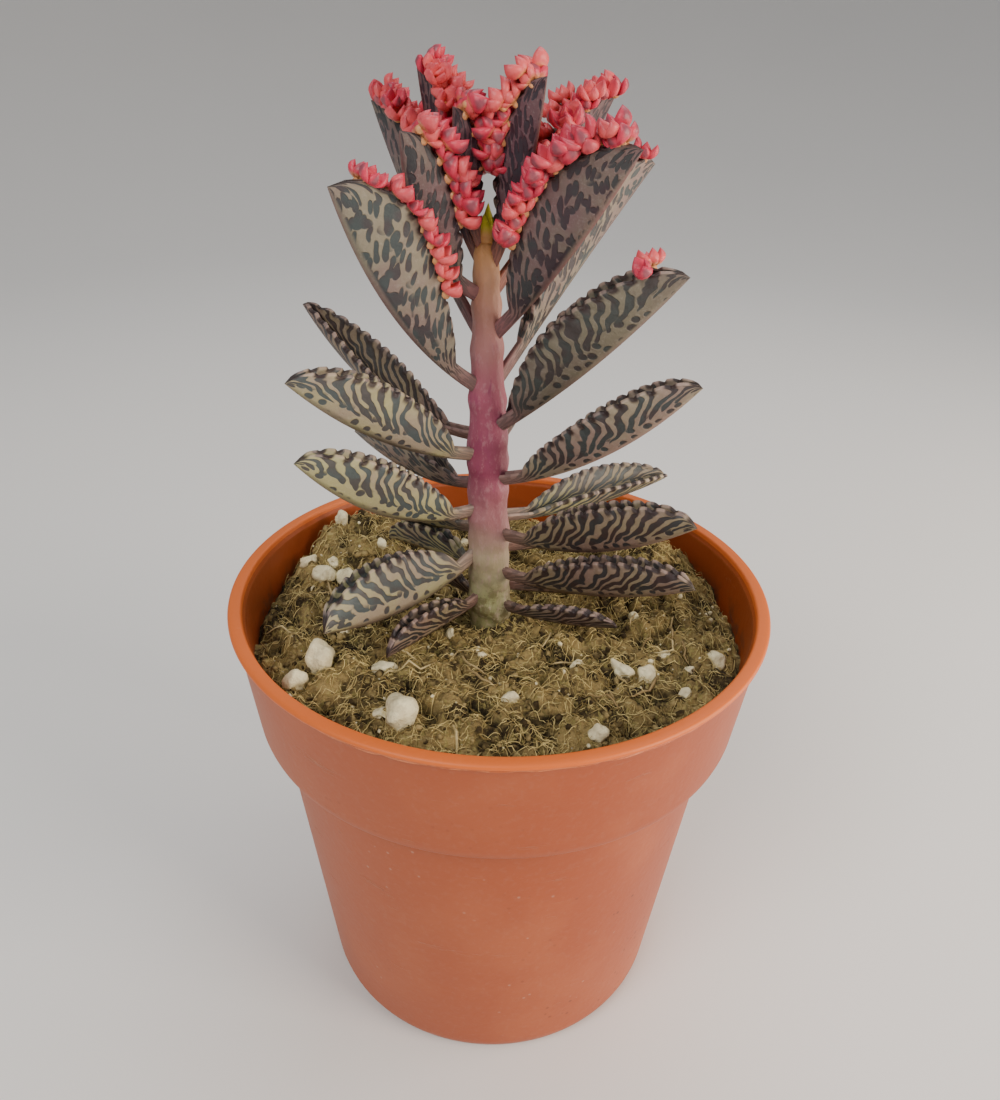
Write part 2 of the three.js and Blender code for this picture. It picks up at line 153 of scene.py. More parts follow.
class Value:
    """A shader socket. Arithmetic on it adds Math nodes to its material."""

    def __init__(self, tree, socket):
        self.tree = tree
        self.socket = socket

    def node(self, kind, settings=None, inputs=None, output=0):
        """Adds a node: its settings first, then the values or links of its inputs."""
        added = self.tree.nodes.new(kind)
        for key, value in (settings or {}).items():
            if key == "stops":
                ramp = added.color_ramp
                while len(ramp.elements) < len(value):
                    ramp.elements.new(0.5)
                for element, (place, colour) in zip(ramp.elements, value):
                    element.position = place
                    element.color = (*colour, 1.0)
            else:
                setattr(added, key, value)
        for key, value in (inputs or {}).items():
            if isinstance(value, Value):
                self.tree.links.new(value.socket, added.inputs[key])
            elif value is not None:
                added.inputs[key].default_value = value
        return Value(self.tree, added.outputs[output])

    def math(self, operation, *others):
        terms = dict(enumerate([self, *others]))
        return self.node("ShaderNodeMath", {"operation": operation}, terms)

    def __add__(self, other):
        return self.math("ADD", other)

    def __radd__(self, other):
        return self.math("ADD", other)

    def __sub__(self, other):
        return self.math("SUBTRACT", other)

    def __rsub__(self, other):
        return (self * -1.0).math("ADD", other)

    def __mul__(self, other):
        return self.math("MULTIPLY", other)

    def __rmul__(self, other):
        return self.math("MULTIPLY", other)

    def __pow__(self, other):
        return self.math("POWER", other)

    def step(self, low, high):
        """0 under low, 1 over high, and eased between them. low may be the larger."""
        return self.node(
            "ShaderNodeMapRange",
            {"interpolation_type": "SMOOTHSTEP"},
            {"Value": self, "From Min": low, "From Max": high},
        )

    def noise(self, scale, detail=3.0, rough=0.5, stretch=None):
        """Noise from 0 to 1 over this vector, with scale in features a metre."""
        vector = self
        if stretch:
            vector = self.node(
                "ShaderNodeMapping", None, {"Vector": self, "Scale": stretch}
            )
        return self.node(
            "ShaderNodeTexNoise",
            None,
            {"Vector": vector, "Scale": scale, "Detail": detail, "Roughness": rough},
        )

    def spots(self, scale, spread=1.0, space="3D"):
        """The distance to the nearest of scattered points, in cells of one over scale."""
        return self.node(
            "ShaderNodeTexVoronoi",
            {"voronoi_dimensions": space},
            {"Vector": self, "Scale": scale, "Randomness": spread},
        )

    def blend(self, under, over):
        """The colour under where this is 0, and over where it is 1."""
        terms = {}
        for key, colour in ((6, under), (7, over)):
            terms[key] = colour if isinstance(colour, Value) else (*colour, 1.0)
        return self.node("ShaderNodeMix", {"data_type": "RGBA"}, {0: self, **terms}, 2)

    def parts(self, axis):
        """One number of a vector, by its place in it."""
        return self.node("ShaderNodeSeparateXYZ", None, {0: self}, axis)


def finish(name):
    """A new material with a Principled shader, and its Object coordinates as a Value."""
    material = bpy.data.materials.new(name)
    material.use_nodes = True
    place = material.node_tree.nodes.new("ShaderNodeTexCoord").outputs["Object"]
    return material, Value(material.node_tree, place)


def stored(material, name):
    """The value that a piece stores on every point under a name, from its layers."""
    node = material.node_tree.nodes.new("ShaderNodeAttribute")
    node.attribute_name = name
    return Value(material.node_tree, node.outputs["Fac"])


def stored_place(material, name):
    """The two numbers that a piece stores on every point as a UV map."""
    node = material.node_tree.nodes.new("ShaderNodeUVMap")
    node.uv_map = name
    return Value(material.node_tree, node.outputs[0])


def shade(material, colour, roughness, height=None, depth=0.0, **fixed):
    """Links what changes over the surface, and sets what doesn't on the shader itself."""
    shader = material.node_tree.nodes["Principled BSDF"]
    links = material.node_tree.links
    links.new(colour.socket, shader.inputs["Base Color"])
    if isinstance(roughness, Value):
        links.new(roughness.socket, shader.inputs["Roughness"])
    else:
        shader.inputs["Roughness"].default_value = roughness
    if height is not None:
        bump = height.node("ShaderNodeBump", None, {"Distance": depth, "Height": height})
        links.new(bump.socket, shader.inputs["Normal"])
    for key, value in fixed.items():
        shader.inputs[key.replace("_", " ")].default_value = value
    return material


def plastic_finish():
    """Satin terracotta plastic, mottled, scuffed and dusty, paler on the left as a painted highlight,
    with a painted highlight on the lip and on the parting line, painted shade in the groove under
    the lip, inside the walls and under the foot, and darker patches low on the inner wall.
    """
    material, place = finish("terracotta plastic")
    side, depth, level = (place.parts(axis) for axis in range(3))
    radius = (side**2.0 + depth**2.0) ** 0.5
    cloud = place.noise(38.0, 4.0, 0.55)
    colour = (0.75 * cloud.step(0.42, 0.66)).blend(PLASTIC, PLASTIC_PALE)
    # Painted highlight: the pot's left side is blended towards the paler plastic for the light that
    # falls there.
    colour = (0.5 * side.step(0.03, -0.045)).blend(colour, PLASTIC_PALE)
    grain = place.noise(900.0, 2.0, 0.6)
    colour = (0.03 * grain.step(0.5, 0.72)).blend(colour, DUST)
    scuff = place.noise(60.0, 5.0, 0.75, (1.0, 1.0, 7.0)).step(0.62, 0.74)
    colour = (0.16 * scuff).blend(colour, DUST)
    speck = place.spots(420.0).step(0.2, 0.09) * place.noise(55.0, 2.0).step(0.54, 0.62)
    low_right = side.step(-0.005, 0.03) * level.step(0.075, 0.03)
    colour = (0.7 * speck * (low_right + 0.25)).blend(colour, SPECK_RED)
    pale_speck = place.spots(260.0).step(0.11, 0.05) * place.noise(33.0, 2.0).step(0.5, 0.6)
    colour = (0.22 * pale_speck).blend(colour, DUST)
    # Painted highlight: the lip above the parting line is painted a brighter orange for the light its
    # top catches.
    lip = level.step((POT_HEIGHT - LIP_HEIGHT - 0.2) * MM, (POT_HEIGHT - LIP_HEIGHT + 0.6) * MM)
    colour = (0.85 * lip).blend(colour, LIP_PAINTED_HIGHLIGHT)
    seam = (POT_HEIGHT - LIP_HEIGHT) * MM
    wander = level + 0.0006 * (place.noise(240.0, 3.0, 0.7) - 0.5)
    ragged = place.noise(190.0, 3.0, 0.7).step(0.40, 0.54)
    # Painted shade: a thin dark groove just above the parting line.
    groove = wander.step(seam + 0.0001, seam + 0.0003) * wander.step(seam + 0.0007, seam + 0.0004)
    colour = (0.5 * groove).blend(colour, PLASTIC_PAINTED_SHADE)
    # Painted highlight: a pale, ragged line along the parting ridge under the lip.
    line = wander.step(seam - 0.0005, seam - 0.0002) * wander.step(seam + 0.0003, seam)
    colour = (0.7 * line * (0.3 + 0.7 * ragged)).blend(colour, SEAM_PAINTED_HIGHLIGHT)
    # Painted shade: every inside face of the walls is blended towards the darker plastic.
    inner = stored(material, "within")
    colour = (0.85 * inner).blend(colour, PLASTIC_PAINTED_SHADE)
    # Darker in patches low on the inner wall, towards the soil.
    low_inner_patches = inner * level.step(0.0905, 0.084) * place.noise(140.0, 4.0, 0.7).step(0.45, 0.62)
    colour = (0.7 * low_inner_patches).blend(colour, DARK_UMBER)
    gloss = 0.40 + 0.16 * cloud + 0.25 * scuff
    texture = 0.25 * place.noise(650.0, 3.0) + 0.5 * scuff + 0.8 * place.noise(45.0, 2.0)
    # Painted shade: under the floor, inside the foot ring, the plastic is darkened.
    under_foot = radius.step(0.036, 0.0355) * level.step(0.004, 0.001)
    colour = (0.4 * under_foot).blend(colour, DARK_UMBER)
    return shade(material, colour, gloss, texture, 0.00022, Specular_IOR_Level=0.42)


def pot_walls():
    """The pot as an outline turned round the upright axis, from the floor's rim to its rim.

    The radius also waves by hundredths of a millimetre round the pot, as a moulding does, and
    the parting line under the lip is a low ridge whose height wanders and has a few nicks.
    """
    foot = FOOT_RADIUS - FOOT_TUCK
    lip_foot = POT_HEIGHT - LIP_HEIGHT
    outside = rounded([
        (DRAIN_BAND[1], FOOT_STEP),
        (foot - FOOT_RING_WIDTH - 0.8, FOOT_STEP, 0.8),
        (foot - FOOT_RING_WIDTH, 0, 0.5),
        (foot, 0, 0.6),
        (foot + 2.2, 0.9, 0.9),
        (FOOT_RADIUS + 0.3, 3.4, 0.9),
        (BODY_TOP_RADIUS - 0.05, COLLAR_FOOT - 3.2, 0.02),
        (BODY_TOP_RADIUS + 0.35, COLLAR_FOOT - 1.2, 0.9),
        (COLLAR_FOOT_RADIUS - 0.4, COLLAR_FOOT - 0.15, 0.8),
        (COLLAR_FOOT_RADIUS + 0.15, COLLAR_FOOT + 1.3, 0.9),
        (RIM_RADIUS - 1.3, lip_foot - 1.2, 0.05),
        (RIM_RADIUS - 1.15, lip_foot - 0.25, 0.7),
        (RIM_RADIUS - 0.5, lip_foot + 0.05, 0.8),
        (RIM_RADIUS - 0.75, lip_foot + 0.4, 0.8),
        (RIM_RADIUS - 0.15, lip_foot + 0.65, 0.8),
        (RIM_RADIUS + 0.03, lip_foot + 1.1, 1.0),
        (RIM_RADIUS - 0.3, POT_HEIGHT - 0.08, 1.0),
        (RIM_RADIUS - 1.1, POT_HEIGHT, 0.6),
        (RIM_RADIUS - LIP_WIDTH + 0.1, POT_HEIGHT, 0.9),
        (RIM_RADIUS - LIP_WIDTH - 0.1, POT_HEIGHT - 0.9, 0.5),
    ])
    inside = rounded([
        (RIM_RADIUS - LIP_WIDTH - 0.12, POT_HEIGHT - 1.0),
        (RIM_RADIUS - LIP_WIDTH - 0.5, lip_foot, 0.5),
        (COLLAR_FOOT_RADIUS - WALL, COLLAR_FOOT, 0.1),
        (BODY_TOP_RADIUS - WALL, COLLAR_FOOT - WALL, 0.3),
        (FOOT_RADIUS - WALL, FOOT_STEP + WALL + FLOOR_CURVE, 0.2),
        (FOOT_RADIUS - WALL - FLOOR_CURVE, FOOT_STEP + WALL, 0.9),
        (DRAIN_BAND[1], FOOT_STEP + WALL),
    ])
    outline = np.concatenate([outside, inside])
    within = np.concatenate([np.zeros(len(outside)), np.ones(len(inside))])
    angle = np.arange(POT_SIDES) * 2 * np.pi / POT_SIDES
    radius, height = outline[:, :1], outline[:, 1:]
    ridge = np.exp(-(((height - (lip_foot + 0.05)) / 0.3) ** 2)) * (1 - within[:, None])
    wander = 0.12 * np.sin(11 * angle + 1) * np.sin(4 * angle) + 0.08 * np.sin(47 * angle)
    nicks = sum(np.exp(-(((angle - at + np.pi) % (2 * np.pi) - np.pi) / 0.012) ** 2)
                for at in (4.03, 4.37, 4.79, 5.05, 5.62, 1.2, 2.6))
    wave = 0.05 * np.sin(2 * angle + 0.6) + 0.03 * np.sin(5 * angle)
    moved = radius + wave + ridge * (wander - 0.35 * nicks)
    rise = 0.12 * np.sin(2 * angle + 2.1) * np.clip((height - 80) / 15, 0, 1)
    around = np.stack([
        moved * np.cos(angle), moved * np.sin(angle), height + rise + 0 * angle
    ], -1)
    return around, np.repeat(within, POT_SIDES)


def drained_floor(height):
    """The floor's middle disc, and a band of cells that each have a round hole.

    A cell runs from its hole's edge out to its own four sides, in straight lines that fan round
    the hole: a point is the hole's point times 1 - t plus the side's point times t.
    """
    inner, outer = DRAIN_BAND
    half = np.pi / DRAIN_HOLES
    turn = np.arange(DRAIN_SIDES) * 2 * np.pi / DRAIN_SIDES
    reach = np.stack([
        np.where(np.cos(turn) > 0, outer - DRAIN_CIRCLE, DRAIN_CIRCLE - inner)
        / np.maximum(np.abs(np.cos(turn)), 1e-9),
        DRAIN_CIRCLE * half / np.maximum(np.abs(np.sin(turn)), 1e-9),
    ]).min(0)
    hole = DRAIN_RADIUS * np.stack([np.cos(turn), np.sin(turn)], -1)
    side = reach[:, None] * np.stack([np.cos(turn), np.sin(turn)], -1)
    share = np.linspace(0, 1, DRAIN_ROWS)[:, None, None]
    flat = (1 - share) * hole + share * side
    patches = []
    for hole_number in range(DRAIN_HOLES):
        angle = (2 * hole_number + 1) * half + flat[..., 1] / DRAIN_CIRCLE
        radius = DRAIN_CIRCLE + flat[..., 0]
        cell = np.stack([radius * np.cos(angle), radius * np.sin(angle), 0 * radius + height], -1)
        patches.append(cell)
    return patches


def pot_floor():
    """Both faces of the drained floor, the walls of its holes, and its undrained middle."""
    low, high = drained_floor(FOOT_STEP), drained_floor(FOOT_STEP + WALL)
    patches = [(cell, quads(DRAIN_ROWS, DRAIN_SIDES)) for cell in low + high]
    patches += [(np.stack([a[0], b[0]]), quads(2, DRAIN_SIDES)) for a, b in zip(low, high)]
    ring = np.arange(FLOOR_SIDES) * 2 * np.pi / FLOOR_SIDES
    for height in (FOOT_STEP, FOOT_STEP + WALL):
        radius = np.array([[0.0], [0.5], [1.0]]) * DRAIN_BAND[0]
        level = height + 0 * ring + 0 * radius
        disc = np.stack([radius * np.cos(ring), radius * np.sin(ring), level], -1)
        patches.append((disc, quads(3, FLOOR_SIDES)))
    return patches


walls, within = pot_walls()
floor_patches = pot_floor()
floor_points = sum(p.reshape(-1, 3).shape[0] for p, _ in floor_patches)
piece(
    "pot_shell",
    [(walls, quads(walls.shape[0], POT_SIDES))] + floor_patches,
    plastic_finish(),
    ["pot"],
    {"within": np.concatenate([within, np.zeros(floor_points)])},
)


# The soil is moist, fibrous peat. It heaps up at the back left and the back right, sinks along
# the wall, and its top is all clods and crumbs. It fills the pot down to its floor.
GAP = 0.3
SOIL_DEPTH_AT_STEM = 8.6
SOIL_SIDES = 420
SOIL_NET_RADIUS = 47.0
SOIL_STEP = 0.36
LUMP = 0.55
CLODS = ((6.5, 2.1), (3.1, 1.8), (1.5, 1.0), (0.8, 0.4))
PEAT = (0.400, 0.290, 0.115)
PEAT_DARK = (0.040, 0.026, 0.011)
PEAT_STRAW = (0.56, 0.45, 0.20)
PEAT_OLIVE = (0.38, 0.31, 0.105)
PEAT_SPECK = (0.6, 0.56, 0.46)
PEAT_PAINTED_SHADE = (0.014, 0.009, 0.004)


def lattice(i, j, seed):
    """A number from 0 to 1 for each pair of whole numbers: the fraction of a large sine."""
    wave = np.sin(i * 127.1 + j * 311.7 + seed * 74.7) * 43758.5453
    return wave - np.floor(wave)


def bumps(x, y, cell, seed):
    """Smooth noise from 0 to 1: the four lattice numbers round a point, eased together."""
    i, j = np.floor(x / cell), np.floor(y / cell)
    u, v = x / cell - i, y / cell - j
    u, v = u * u * (3 - 2 * u), v * v * (3 - 2 * v)
    low = lattice(i, j, seed) * (1 - u) + lattice(i + 1, j, seed) * u
    high = lattice(i, j + 1, seed) * (1 - u) + lattice(i + 1, j + 1, seed) * u
    return low * (1 - v) + high * v


def smoothstep(x, low, high):
    """0 under low, 1 over high, and eased between them."""
    t = np.clip((x - low) / (high - low), 0, 1)
    return t * t * (3 - 2 * t)


def bed_height(x, y):
    """The soil's own form: heaps as round bells, less the sink at the wall, plus slow waves."""
    heaps = 0
    for cx, cy, height, spread in ((-33, 27, 8.5, 14), (33, 20, 6.5, 12), (4, -30, 2, 16)):
        heaps = heaps + height * np.exp(-((x - cx) ** 2 + (y - cy) ** 2) / spread**2)
    sink = 2.2 * smoothstep(np.hypot(x, y), 38, 49)
    waves = (
        np.sin(0.42 * x + 1.3) * np.cos(0.37 * y + 0.4)
        + 0.7 * np.sin(0.23 * x - 0.61 * y)
        + 0.5 * np.cos(0.71 * x + 0.5 * y + 2)
    )
    return POT_HEIGHT - SOIL_DEPTH_AT_STEM + heaps - sink + LUMP * waves


def soil_top(x, y):
    """The bed's height plus clods: noise at four sizes, creased where it crosses its middle."""
    height = bed_height(x, y)
    calm = 1 - 0.75 * np.exp(-((x + 2) ** 2 + y**2) / 30)
    for seed, (cell, size) in enumerate(CLODS):
        slant = bumps(x + 0.6 * y, y - 0.4 * x, cell, seed)
        height = height + calm * size * (np.sqrt(np.abs(2 * slant - 1)) - 0.6)
    return height


def peat_finish():
    """Dark brown peat with straw-coloured and olive threads, and painted shade in its cracks."""
    material, place = finish("fibrous peat")
    cloud = place.noise(150.0, 4.0, 0.6)
    colour = cloud.step(0.38, 0.62).blend(PEAT_DARK, PEAT)
    warped = place.noise(260.0, 2.0)
    thread = place.noise(1100.0, 4.0, 0.75, (1.0, 0.3, 1.0)) + 0.25 * warped
    colour = (0.9 * thread.step(0.62, 0.76)).blend(colour, PEAT_OLIVE)
    cross = place.noise(1300.0, 3.0, 0.7, (0.3, 1.0, 1.0)) + 0.2 * warped
    colour = (0.85 * cross.step(0.66, 0.78)).blend(colour, PEAT_STRAW)
    speck = place.spots(900.0).step(0.2, 0.08) * place.noise(300.0, 1.0).step(0.6, 0.68)
    colour = (0.8 * speck).blend(colour, PEAT_SPECK)
    # Painted shade: where the top sinks below the bed's own height, the peat turns nearly black.
    crack_shade = (stored(material, "raised") + 1.6 * (cloud - 0.5)).step(0.1, -1.7)
    colour = (0.9 * crack_shade).blend(colour, PEAT_PAINTED_SHADE)
    height = thread + 0.8 * cross + 0.7 * place.noise(500.0, 4.0, 0.7)
    return shade(material, colour, 0.92, height, 0.0011, Specular_IOR_Level=0.25)


def soil_bed():
    """Rings of points from the floor up the wall and over the top to the middle.

    On the floor and up the wall a ring keeps its radius and height. On top its radius shrinks
    by a fixed step and its height is the soil's own.
    """
    angle = np.arange(SOIL_SIDES) * 2 * np.pi / SOIL_SIDES
    low = FOOT_STEP + WALL + GAP
    sides = [
        (0.0, low),
        (FOOT_RADIUS - WALL - FLOOR_CURVE - GAP, low),
        (FOOT_RADIUS - WALL - GAP, low + FLOOR_CURVE),
        (BODY_TOP_RADIUS - WALL - GAP, COLLAR_FOOT - WALL + GAP),
        (COLLAR_FOOT_RADIUS - WALL - GAP, COLLAR_FOOT + GAP),
        (SOIL_NET_RADIUS + 2.0, POT_HEIGHT - 13),
    ]
    rings = [
        np.stack([r * np.cos(angle), r * np.sin(angle), 0 * angle + z], -1) for r, z in sides
    ]
    steps = np.arange(SOIL_NET_RADIUS + 1.8, 0, -SOIL_STEP)
    radius = np.append(steps, 0.0)[:, None]
    x, y = radius * np.cos(angle), radius * np.sin(angle)
    edge = smoothstep(np.hypot(x, y), SOIL_NET_RADIUS - 0.5, SOIL_NET_RADIUS + 1.8)
    top = np.stack([x, y, soil_top(x, y) - 1.3 * edge], -1)
    return np.concatenate([np.array(rings), top])


bed = soil_bed()
raised = (bed[..., 2] - bed_height(bed[..., 0], bed[..., 1])).ravel()
piece(
    "soil_bed", [(bed, quads(*bed.shape[:2]))], peat_finish(), ["soil"], {"raised": raised}
)


# Crumbs of peat lie on the soil, and white perlite is mixed into it. The grains are expanded
# volcanic glass, from dust to 7 mm, and half sunk.
CRUMBS = 1500
SMALL_GRAINS = 190
GRAINS = 14
GOLDEN_ANGLE = 2.4
PERLITE_WHITE = (0.85, 0.78, 0.50)
PERLITE_CREAM = (0.68, 0.60, 0.38)
PERLITE_DIRT = (0.36, 0.29, 0.17)
CRUMB_DARK = (0.05, 0.034, 0.015)
CRUMB_TAN = (0.36, 0.27, 0.115)
BIG_GRAINS = (
    (-33.7, -16.0, 3.2, 2.7, 3.6), (-21.2, -17.0, 2.5, 1.6, 1.9), (-32.4, 11, 2.6, 2.0, 1.6),
    (-37.0, 10.5, 2.2, 1.8, 1.7), (-35.5, 26, 1.6, 1.2, 1.4), (-41.5, 17, 1.7, 1.3, 1.3),
    (23.0, -16.0, 2.6, 1.3, 1.4), (15, -15.5, 1.3, 1.0, 0.9), (32.3, -10.5, 1.4, 1.1, 1.0),
    (36.3, -15.5, 1.5, 1.2, 1.2), (42.5, -10.5, 2.0, 1.6, 1.7), (-20, -31, 1.6, 1.2, 1.0),
    (-38, -21, 1.5, 1.1, 1.1), (-9.5, -6.5, 1.1, 0.8, 0.8), (-3.0, -15, 0.9, 0.7, 0.6),
    (27.5, 1.0, 1.1, 0.8, 0.8), (34.5, -22, 1.2, 0.9, 0.8), (-26.0, 19, 1.3, 1.0, 1.1),
)


def draws(seed):
    """A repeatable stream of numbers from 0 to 1, drawn as the solids draw theirs."""
    state = seed
    while True:
        state = (state * 48271) % 2147483647
        yield state / 2147483647


def scattered(rng, count, first, last):
    """Points of the soil spread evenly over the ring between two radii, as x and y."""
    radius = np.sqrt(rng.uniform(first**2, last**2, count))
    angle = rng.uniform(0, 2 * np.pi, count)
    return radius * np.cos(angle), radius * np.sin(angle)


def turns(rng, count):
    """Random rotations, from the unit quaternions that four normal draws give."""
    q = rng.normal(size=(count, 4))
    w, x, y, z = (q / np.linalg.norm(q, axis=1, keepdims=True)).T
    return np.stack([
        np.stack([1 - 2 * (y * y + z * z), 2 * (x * y - w * z), 2 * (x * z + w * y)], -1),
        np.stack([2 * (x * y + w * z), 1 - 2 * (x * x + z * z), 2 * (y * z - w * x)], -1),
        np.stack([2 * (x * z - w * y), 2 * (y * z + w * x), 1 - 2 * (x * x + y * y)], -1),
    ], 1)


def crumb_patch(rng, x, y, radii, sunk):
    """A crumb for each point: twelve corners of an icosahedron, each at its own random radius,
    squeezed, turned and sunk that share of its size under the soil's top."""
    g = (1 + math.sqrt(5)) / 2
    corners = np.array([
        (-1, g, 0), (1, g, 0), (-1, -g, 0), (1, -g, 0), (0, -1, g), (0, 1, g),
        (0, -1, -g), (0, 1, -g), (g, 0, -1), (g, 0, 1), (-g, 0, -1), (-g, 0, 1),
    ]) / math.hypot(1, g)
    faces = np.array([
        (0, 11, 5), (0, 5, 1), (0, 1, 7), (0, 7, 10), (0, 10, 11), (1, 5, 9), (5, 11, 4),
        (11, 10, 2), (10, 7, 6), (7, 1, 8), (3, 9, 4), (3, 4, 2), (3, 2, 6), (3, 6, 8),
        (3, 8, 9), (4, 9, 5), (2, 4, 11), (6, 2, 10), (8, 6, 7), (9, 8, 1),
    ])
    count = len(x)
    shape = corners[None] * rng.uniform(0.72, 1.15, (count, 12, 1))
    shape = shape * rng.uniform(0.6, 1.0, (count, 1, 3))
    shape = np.einsum("nij,nkj->nki", turns(rng, count), shape) * radii[:, None, None]
    middle = np.stack([x, y, soil_top(x, y) - sunk * radii], -1)
    indexes = faces[None] + 12 * np.arange(count)[:, None, None]
    return shape + middle[:, None], indexes.reshape(-1, 3)


def grain_patch(x, y, size, seed):
    """One large grain: a sphere whose radius is 1 plus seven cosine waves in random directions,
    finer ones lower, scaled to size along each axis and half sunk."""
    rows, columns = 15, 24
    tilt = np.linspace(0, np.pi, rows)[:, None]
    turn = np.arange(columns) * 2 * np.pi / columns
    a, b, c = np.sin(tilt) * np.cos(turn), np.sin(tilt) * np.sin(turn), np.cos(tilt) + 0 * turn
    waves = np.random.default_rng(seed)
    swell = 1.0
    for pitch in (1.6, 2.1, 2.9, 3.7, 5.2, 6.8, 8.5):
        u, v, w = pitch * turns(waves, 1)[0][0]
        swell = swell + 0.22 / pitch**0.6 * np.cos(u * a + v * b + w * c + waves.uniform(0, 6))
    lean = seed * 1.7
    p, q = swell * a * size[0], swell * b * size[1]
    px, py = p * math.cos(lean) - q * math.sin(lean), p * math.sin(lean) + q * math.cos(lean)
    z = float(soil_top(np.array(x), np.array(y))) + 0.28 * size[2]
    return np.stack([x + px, y + py, z + swell * c * size[2]], -1), quads(rows, columns)


def perlite_finish():
    """Chalky white glass foam, cream and dirty in its pits."""
    material, place = finish("white perlite")
    pit = place.noise(520.0, 4.0, 0.65)
    colour = pit.step(0.62, 0.42).blend(PERLITE_WHITE, PERLITE_CREAM)
    dirt = place.noise(240.0, 4.0, 0.7).step(0.56, 0.68)
    colour = (0.55 * dirt).blend(colour, PERLITE_DIRT)
    return shade(material, colour, 0.85, pit, 0.0007, Specular_IOR_Level=0.3)


def crumb_finish():
    """Peat crumbs, from nearly black to tan."""
    material, place = finish("peat crumbs")
    tone = place.noise(330.0, 2.0)
    colour = tone.step(0.4, 0.62).blend(CRUMB_DARK, CRUMB_TAN)
    height = place.noise(1500.0, 3.0, 0.7)
    return shade(material, colour, 0.95, height, 0.0006, Specular_IOR_Level=0.2)


rng = np.random.default_rng(11)
crumb_x, crumb_y = scattered(rng, CRUMBS, 5, 47.5)
crumb_sizes = rng.uniform(0.30, 1.12, CRUMBS) ** 1.4
piece(
    "peat_crumbs",
    [crumb_patch(rng, crumb_x, crumb_y, crumb_sizes, -0.1)],
    crumb_finish(),
)
grain_x, grain_y = scattered(rng, SMALL_GRAINS, 8, 47)
grain_sizes = 0.25 + 0.6 * rng.random(SMALL_GRAINS) ** 3
perlite = [crumb_patch(rng, grain_x, grain_y, grain_sizes, -0.45)]
stream = draws(7)
for number in range(GRAINS):
    reach = 14 + 30 * math.sqrt((number + 0.5) / GRAINS)
    x, y = reach * math.cos(number * GOLDEN_ANGLE), reach * math.sin(number * GOLDEN_ANGLE)
    size = 1.3 + 1.9 * next(stream) ** 2
    next(stream), next(stream)
    perlite.append(grain_patch(x, y, (size, 0.85 * size, 0.8 * size), 20 + number))
for number, (x, y, *size) in enumerate(BIG_GRAINS):
    perlite.append(grain_patch(x, y, size, 60 + number))
piece("perlite_grains", perlite, perlite_finish())


# Peat holds the fibres that it formed from: fine tan threads that lie curled over the clods, and
# a few flat bits of straw.
FIBRES = 4600
STRAWS = 40
FIBRE_STEPS = 7


def thread_patch(rng, count, lengths, radii, curl, lift, flat=1.0):
    """Threads that lie on the soil, three-sided and tapered to a point at both ends.

    A thread's heading turns steadily by its own curl and wavers, its middle line is the running
    sum of its headings, and each point lies at the soil's height plus a low arch.
    """
    t = np.linspace(0, 1, FIBRE_STEPS)
    x, y = scattered(rng, count, 4.5, 46.5)
    bend = rng.uniform(-curl, curl, (count, 1))
    waver = rng.uniform(-0.9, 0.9, (count, 1)) * np.sin(rng.uniform(3, 9, (count, 1)) * t)
    heading = rng.uniform(0, 2 * np.pi, (count, 1)) + bend * t + waver
    stride = (lengths / (FIBRE_STEPS - 1))[:, None]
    px = x[:, None] + np.cumsum(np.cos(heading) * stride, 1)
    py = y[:, None] + np.cumsum(np.sin(heading) * stride, 1)
    far = np.maximum(np.hypot(px, py) / 47.2, 1)
    px, py = px / far, py / far
    arch = rng.uniform(0.0, lift, (count, 1)) * np.sin(np.pi * t) + 0.25
    arch = arch + rng.uniform(0, 0.7, (count, 1)) * t
    middle = np.stack([px, py, soil_top(px, py) + arch], -1)
    along = np.gradient(middle, axis=1)
    along /= np.linalg.norm(along, axis=2, keepdims=True)
    across = np.cross(along, [0, 0, 1])
    across /= np.maximum(np.linalg.norm(across, axis=2, keepdims=True), 1e-9)
    above = np.cross(across, along)
    thick = radii[:, None] * np.sin(np.pi * np.clip(t, 0.0, 1.0)) ** 0.45
    rings = []
    for corner in range(3):
        turn = corner * 2 * np.pi / 3 + np.pi / 2
        rings.append(middle + thick[..., None] * (
            math.cos(turn) * across + flat * math.sin(turn) * above))
    points = np.stack(rings, 2)
    base = quads(FIBRE_STEPS, 3)
    faces = base[None] + FIBRE_STEPS * 3 * np.arange(count)[:, None, None]
    tone = np.repeat(rng.random(count), FIBRE_STEPS * 3)
    return points, faces.reshape(-1, 4), tone


def fibre_finish(name, dark, pale):
    """Dry plant fibre, each thread between a dark and a pale tan."""
    material, place = finish(name)
    mixed = 0.75 * stored(material, "tone") + 0.5 * place.noise(400.0, 2.0) - 0.12
    return shade(material, mixed.step(0.15, 0.95).blend(dark, pale), 0.7,
                 place.noise(2500.0, 2.0), 0.0002, Specular_IOR_Level=0.3)


fibre_points, fibre_faces, fibre_tone = thread_patch(
    rng, FIBRES, rng.uniform(1.5, 5.5, FIBRES), rng.uniform(0.04, 0.085, FIBRES), 1.4, 0.6)
piece(
    "peat_fibres",
    [(fibre_points, fibre_faces)],
    fibre_finish("peat fibre", (0.26, 0.180, 0.058), (0.86, 0.70, 0.30)),
    layers={"tone": fibre_tone},
)
straw_points, straw_faces, straw_tone = thread_patch(
    rng, STRAWS, rng.uniform(5.0, 13.0, STRAWS), rng.uniform(0.22, 0.42, STRAWS), 0.9, 1.2, 0.45)
piece(
    "straw_bits",
    [(straw_points, straw_faces)],
    fibre_finish("straw", (0.30, 0.21, 0.09), (0.62, 0.50, 0.25)),
    layers={"tone": straw_tone},
)


